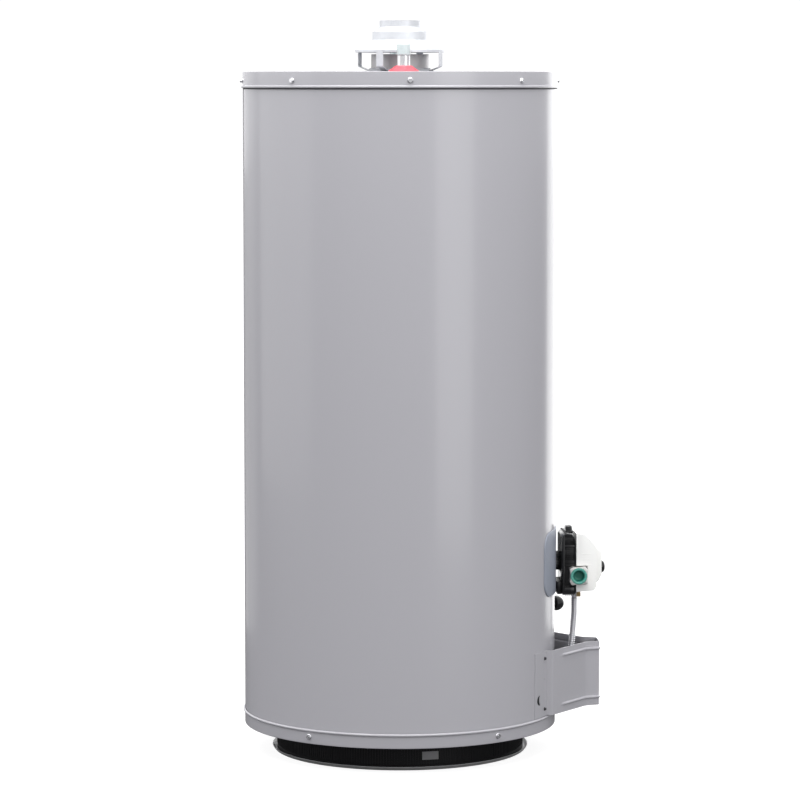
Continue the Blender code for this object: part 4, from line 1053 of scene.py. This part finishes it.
def relief_lever():
    lever = Shape()
    blade = rounded([(-0.004, 0.0046), (-0.0028, 0.006), (-0.0028, 0.034, 0.004), (0.0012, 0.0402, 0.0004),
                     (0.0002, 0.0409, 0.0004), (-0.004, 0.0346, 0.005)])
    up = Matrix.Translation((LEVER_PIVOT, 0.0, RELIEF_Z)) @ turned_by(90, "X")
    lever.prism(blade, -0.0085, 0.0085, up, 0.0003, 1)
    ear = rounded([(-0.004, -0.0075, 0.001), (0.0, -0.006, 0.003), (0.0036, -0.003, 0.003),
                   (0.0036, 0.003, 0.003), (-0.0028, 0.0066), (-0.004, 0.0066)])
    for low, high in ((-0.0085, -0.0071), (0.0071, 0.0085)):
        lever.prism(ear, low, high, up, 0.0002, 1)
    piece(lever.object("relief_lever_blade", "stainless"), "bright_steel", "relief_lever",
          body="relief_handle")


# ---- pieces that keep their CAD shape

def keep_inner_parts():
    looks = {"insulation": "foam", "flame_arrestor": "fibre", "tank": "enamel",
             "flue_baffle": "burner_steel", "burner": "burner_steel", "burner_door": "enamel",
             "chamber_pan": "base_steel", "burner_manifold": "dull_brass", "pilot_assembly": "stainless",
             "dip_tube": "dip_plastic", "anode_rod": "magnesium", "thermowell": "brass",
             "dial_plunger": "zinc"}
    for name, look in looks.items():
        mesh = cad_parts[name].data
        mesh.materials.clear()
        mesh.materials.append(MATERIALS[look])


# ---- studio

def area(name, spot, target, size, power):
    data = bpy.data.lights.new(name, "AREA")
    data.shape = "RECTANGLE"
    data.size, data.size_y = size
    data.energy = power
    lamp = bpy.data.objects.new(name, data)
    bpy.context.scene.collection.objects.link(lamp)
    lamp.matrix_world = aim(spot, Vector(spot) - Vector(target))
    lamp.visible_camera = False


def by_camera(tree, output, seen, unseen):
    """Shows one shader to the camera and the other to all other rays."""
    rays = tree.nodes.new("ShaderNodeLightPath")
    mix = tree.nodes.new("ShaderNodeMixShader")
    tree.links.new(rays.outputs["Is Camera Ray"], mix.inputs["Fac"])
    tree.links.new(unseen.outputs[0], mix.inputs[1])
    tree.links.new(seen.outputs[0], mix.inputs[2])
    tree.links.new(mix.outputs[0], tree.nodes.new(output).inputs["Surface"])


def studio():
    scene = bpy.context.scene
    scene.view_settings.view_transform = "Standard"
    world = bpy.data.worlds.new("studio")
    scene.world = world
    world.use_nodes = True
    tree = world.node_tree
    tree.nodes.clear()
    plain = tree.nodes.new("ShaderNodeBackground")
    plain.inputs["Color"].default_value = (1.0, 1.0, 1.0, 1.0)
    plain.inputs["Strength"].default_value = 1.05
    soft = tree.nodes.new("ShaderNodeBackground")
    place = tree.nodes.new("ShaderNodeTexCoord")
    split = tree.nodes.new("ShaderNodeSeparateXYZ")
    ramp = tree.nodes.new("ShaderNodeValToRGB")
    half = tree.nodes.new("ShaderNodeMapRange")
    half.inputs["From Min"].default_value = -1.0
    tree.links.new(place.outputs["Generated"], split.inputs[0])
    tree.links.new(split.outputs["Z"], half.inputs["Value"])
    tree.links.new(half.outputs["Result"], ramp.inputs["Fac"])
    stops = ramp.color_ramp.elements
    stops[0].position, stops[0].color = 0.0, (0.08, 0.08, 0.085, 1.0)
    stops[1].position, stops[1].color = 1.0, (1.0, 1.0, 1.0, 1.0)
    middle = stops.new(0.5)
    middle.color = (0.6, 0.6, 0.62, 1.0)
    tree.links.new(ramp.outputs["Color"], soft.inputs["Color"])
    soft.inputs["Strength"].default_value = 1.3
    by_camera(tree, "ShaderNodeOutputWorld", plain, soft)
    floor()
    area("overhead", (-1.0, 0.2, 3.6), (0.0, 0.0, 0.9), (3.0, 3.0), 110)
    area("right", (-2.46, -1.72, 1.3), (0.0, 0.0, 0.9), (1.5, 2.8), 20)
    area("back", (1.29, -0.66, 0.8), (0.0, 0.0, 0.8), (1.5, 1.6), 13.5)
    area("back_left", (1.29, 0.66, 0.8), (0.0, 0.0, 0.8), (1.4, 1.6), 2.4)
    area("left", (0.3, 2.9, 1.6), (0.0, 0.0, 1.0), (3.2, 3.0), 20)


def floor():
    mesh = bpy.data.meshes.new("floor")
    size = 40.0
    mesh.from_pydata([(-size, -size, 0), (size, -size, 0), (size, size, 0), (-size, size, 0)], [],
                     [(0, 1, 2, 3)])
    plane = bpy.data.objects.new("floor", mesh)
    bpy.context.scene.collection.objects.link(plane)
    made = bpy.data.materials.new("floor_white")
    made.use_nodes = True
    tree = made.node_tree
    tree.nodes.clear()
    seen = tree.nodes.new("ShaderNodeEmission")
    seen.inputs["Strength"].default_value = 0.86
    soft = tree.nodes.new("ShaderNodeBsdfDiffuse")
    soft.inputs["Color"].default_value = (0.3, 0.3, 0.3, 1.0)
    both = tree.nodes.new("ShaderNodeAddShader")
    tree.links.new(seen.outputs[0], both.inputs[0])
    tree.links.new(soft.outputs[0], both.inputs[1])
    other = tree.nodes.new("ShaderNodeBsdfDiffuse")
    other.inputs["Color"].default_value = (0.12, 0.12, 0.123, 1.0)
    by_camera(tree, "ShaderNodeOutputMaterial", both, other)
    mesh.materials.append(made)
    plane.location.z = -0.0002


def camera():
    data = bpy.data.cameras.new("camera")
    data.sensor_width = 36.0
    data.lens = 154.31
    made = bpy.data.objects.new("camera", data)
    bpy.context.scene.collection.objects.link(made)
    turn, pitch, distance, height = math.radians(3.6), math.radians(5.282), 6.157, 1.201
    made.location = (-distance * math.cos(turn), distance * math.sin(turn), height)
    look = Vector((math.cos(turn) * math.cos(pitch), -math.sin(turn) * math.cos(pitch), -math.sin(pitch)))
    made.rotation_mode = "QUATERNION"
    made.rotation_quaternion = look.to_track_quat("-Z", "Y")
    bpy.context.scene.camera = made


make_materials()
casing()
top_cap()
bottom_pan()
screws()
base()
hood()
water_pipes()
burner_cover()
valve_pad()
valve_body()
igniter_button()
valve_cover()
dial_panel()
cover_details()
valve_casting()
inlet_plug()
dial()
flex_nut()
gas_tube()
pressure_tap()
drain()
drain_knob()
relief()
relief_pin()
relief_lever()
keep_inner_parts()
studio()
camera()
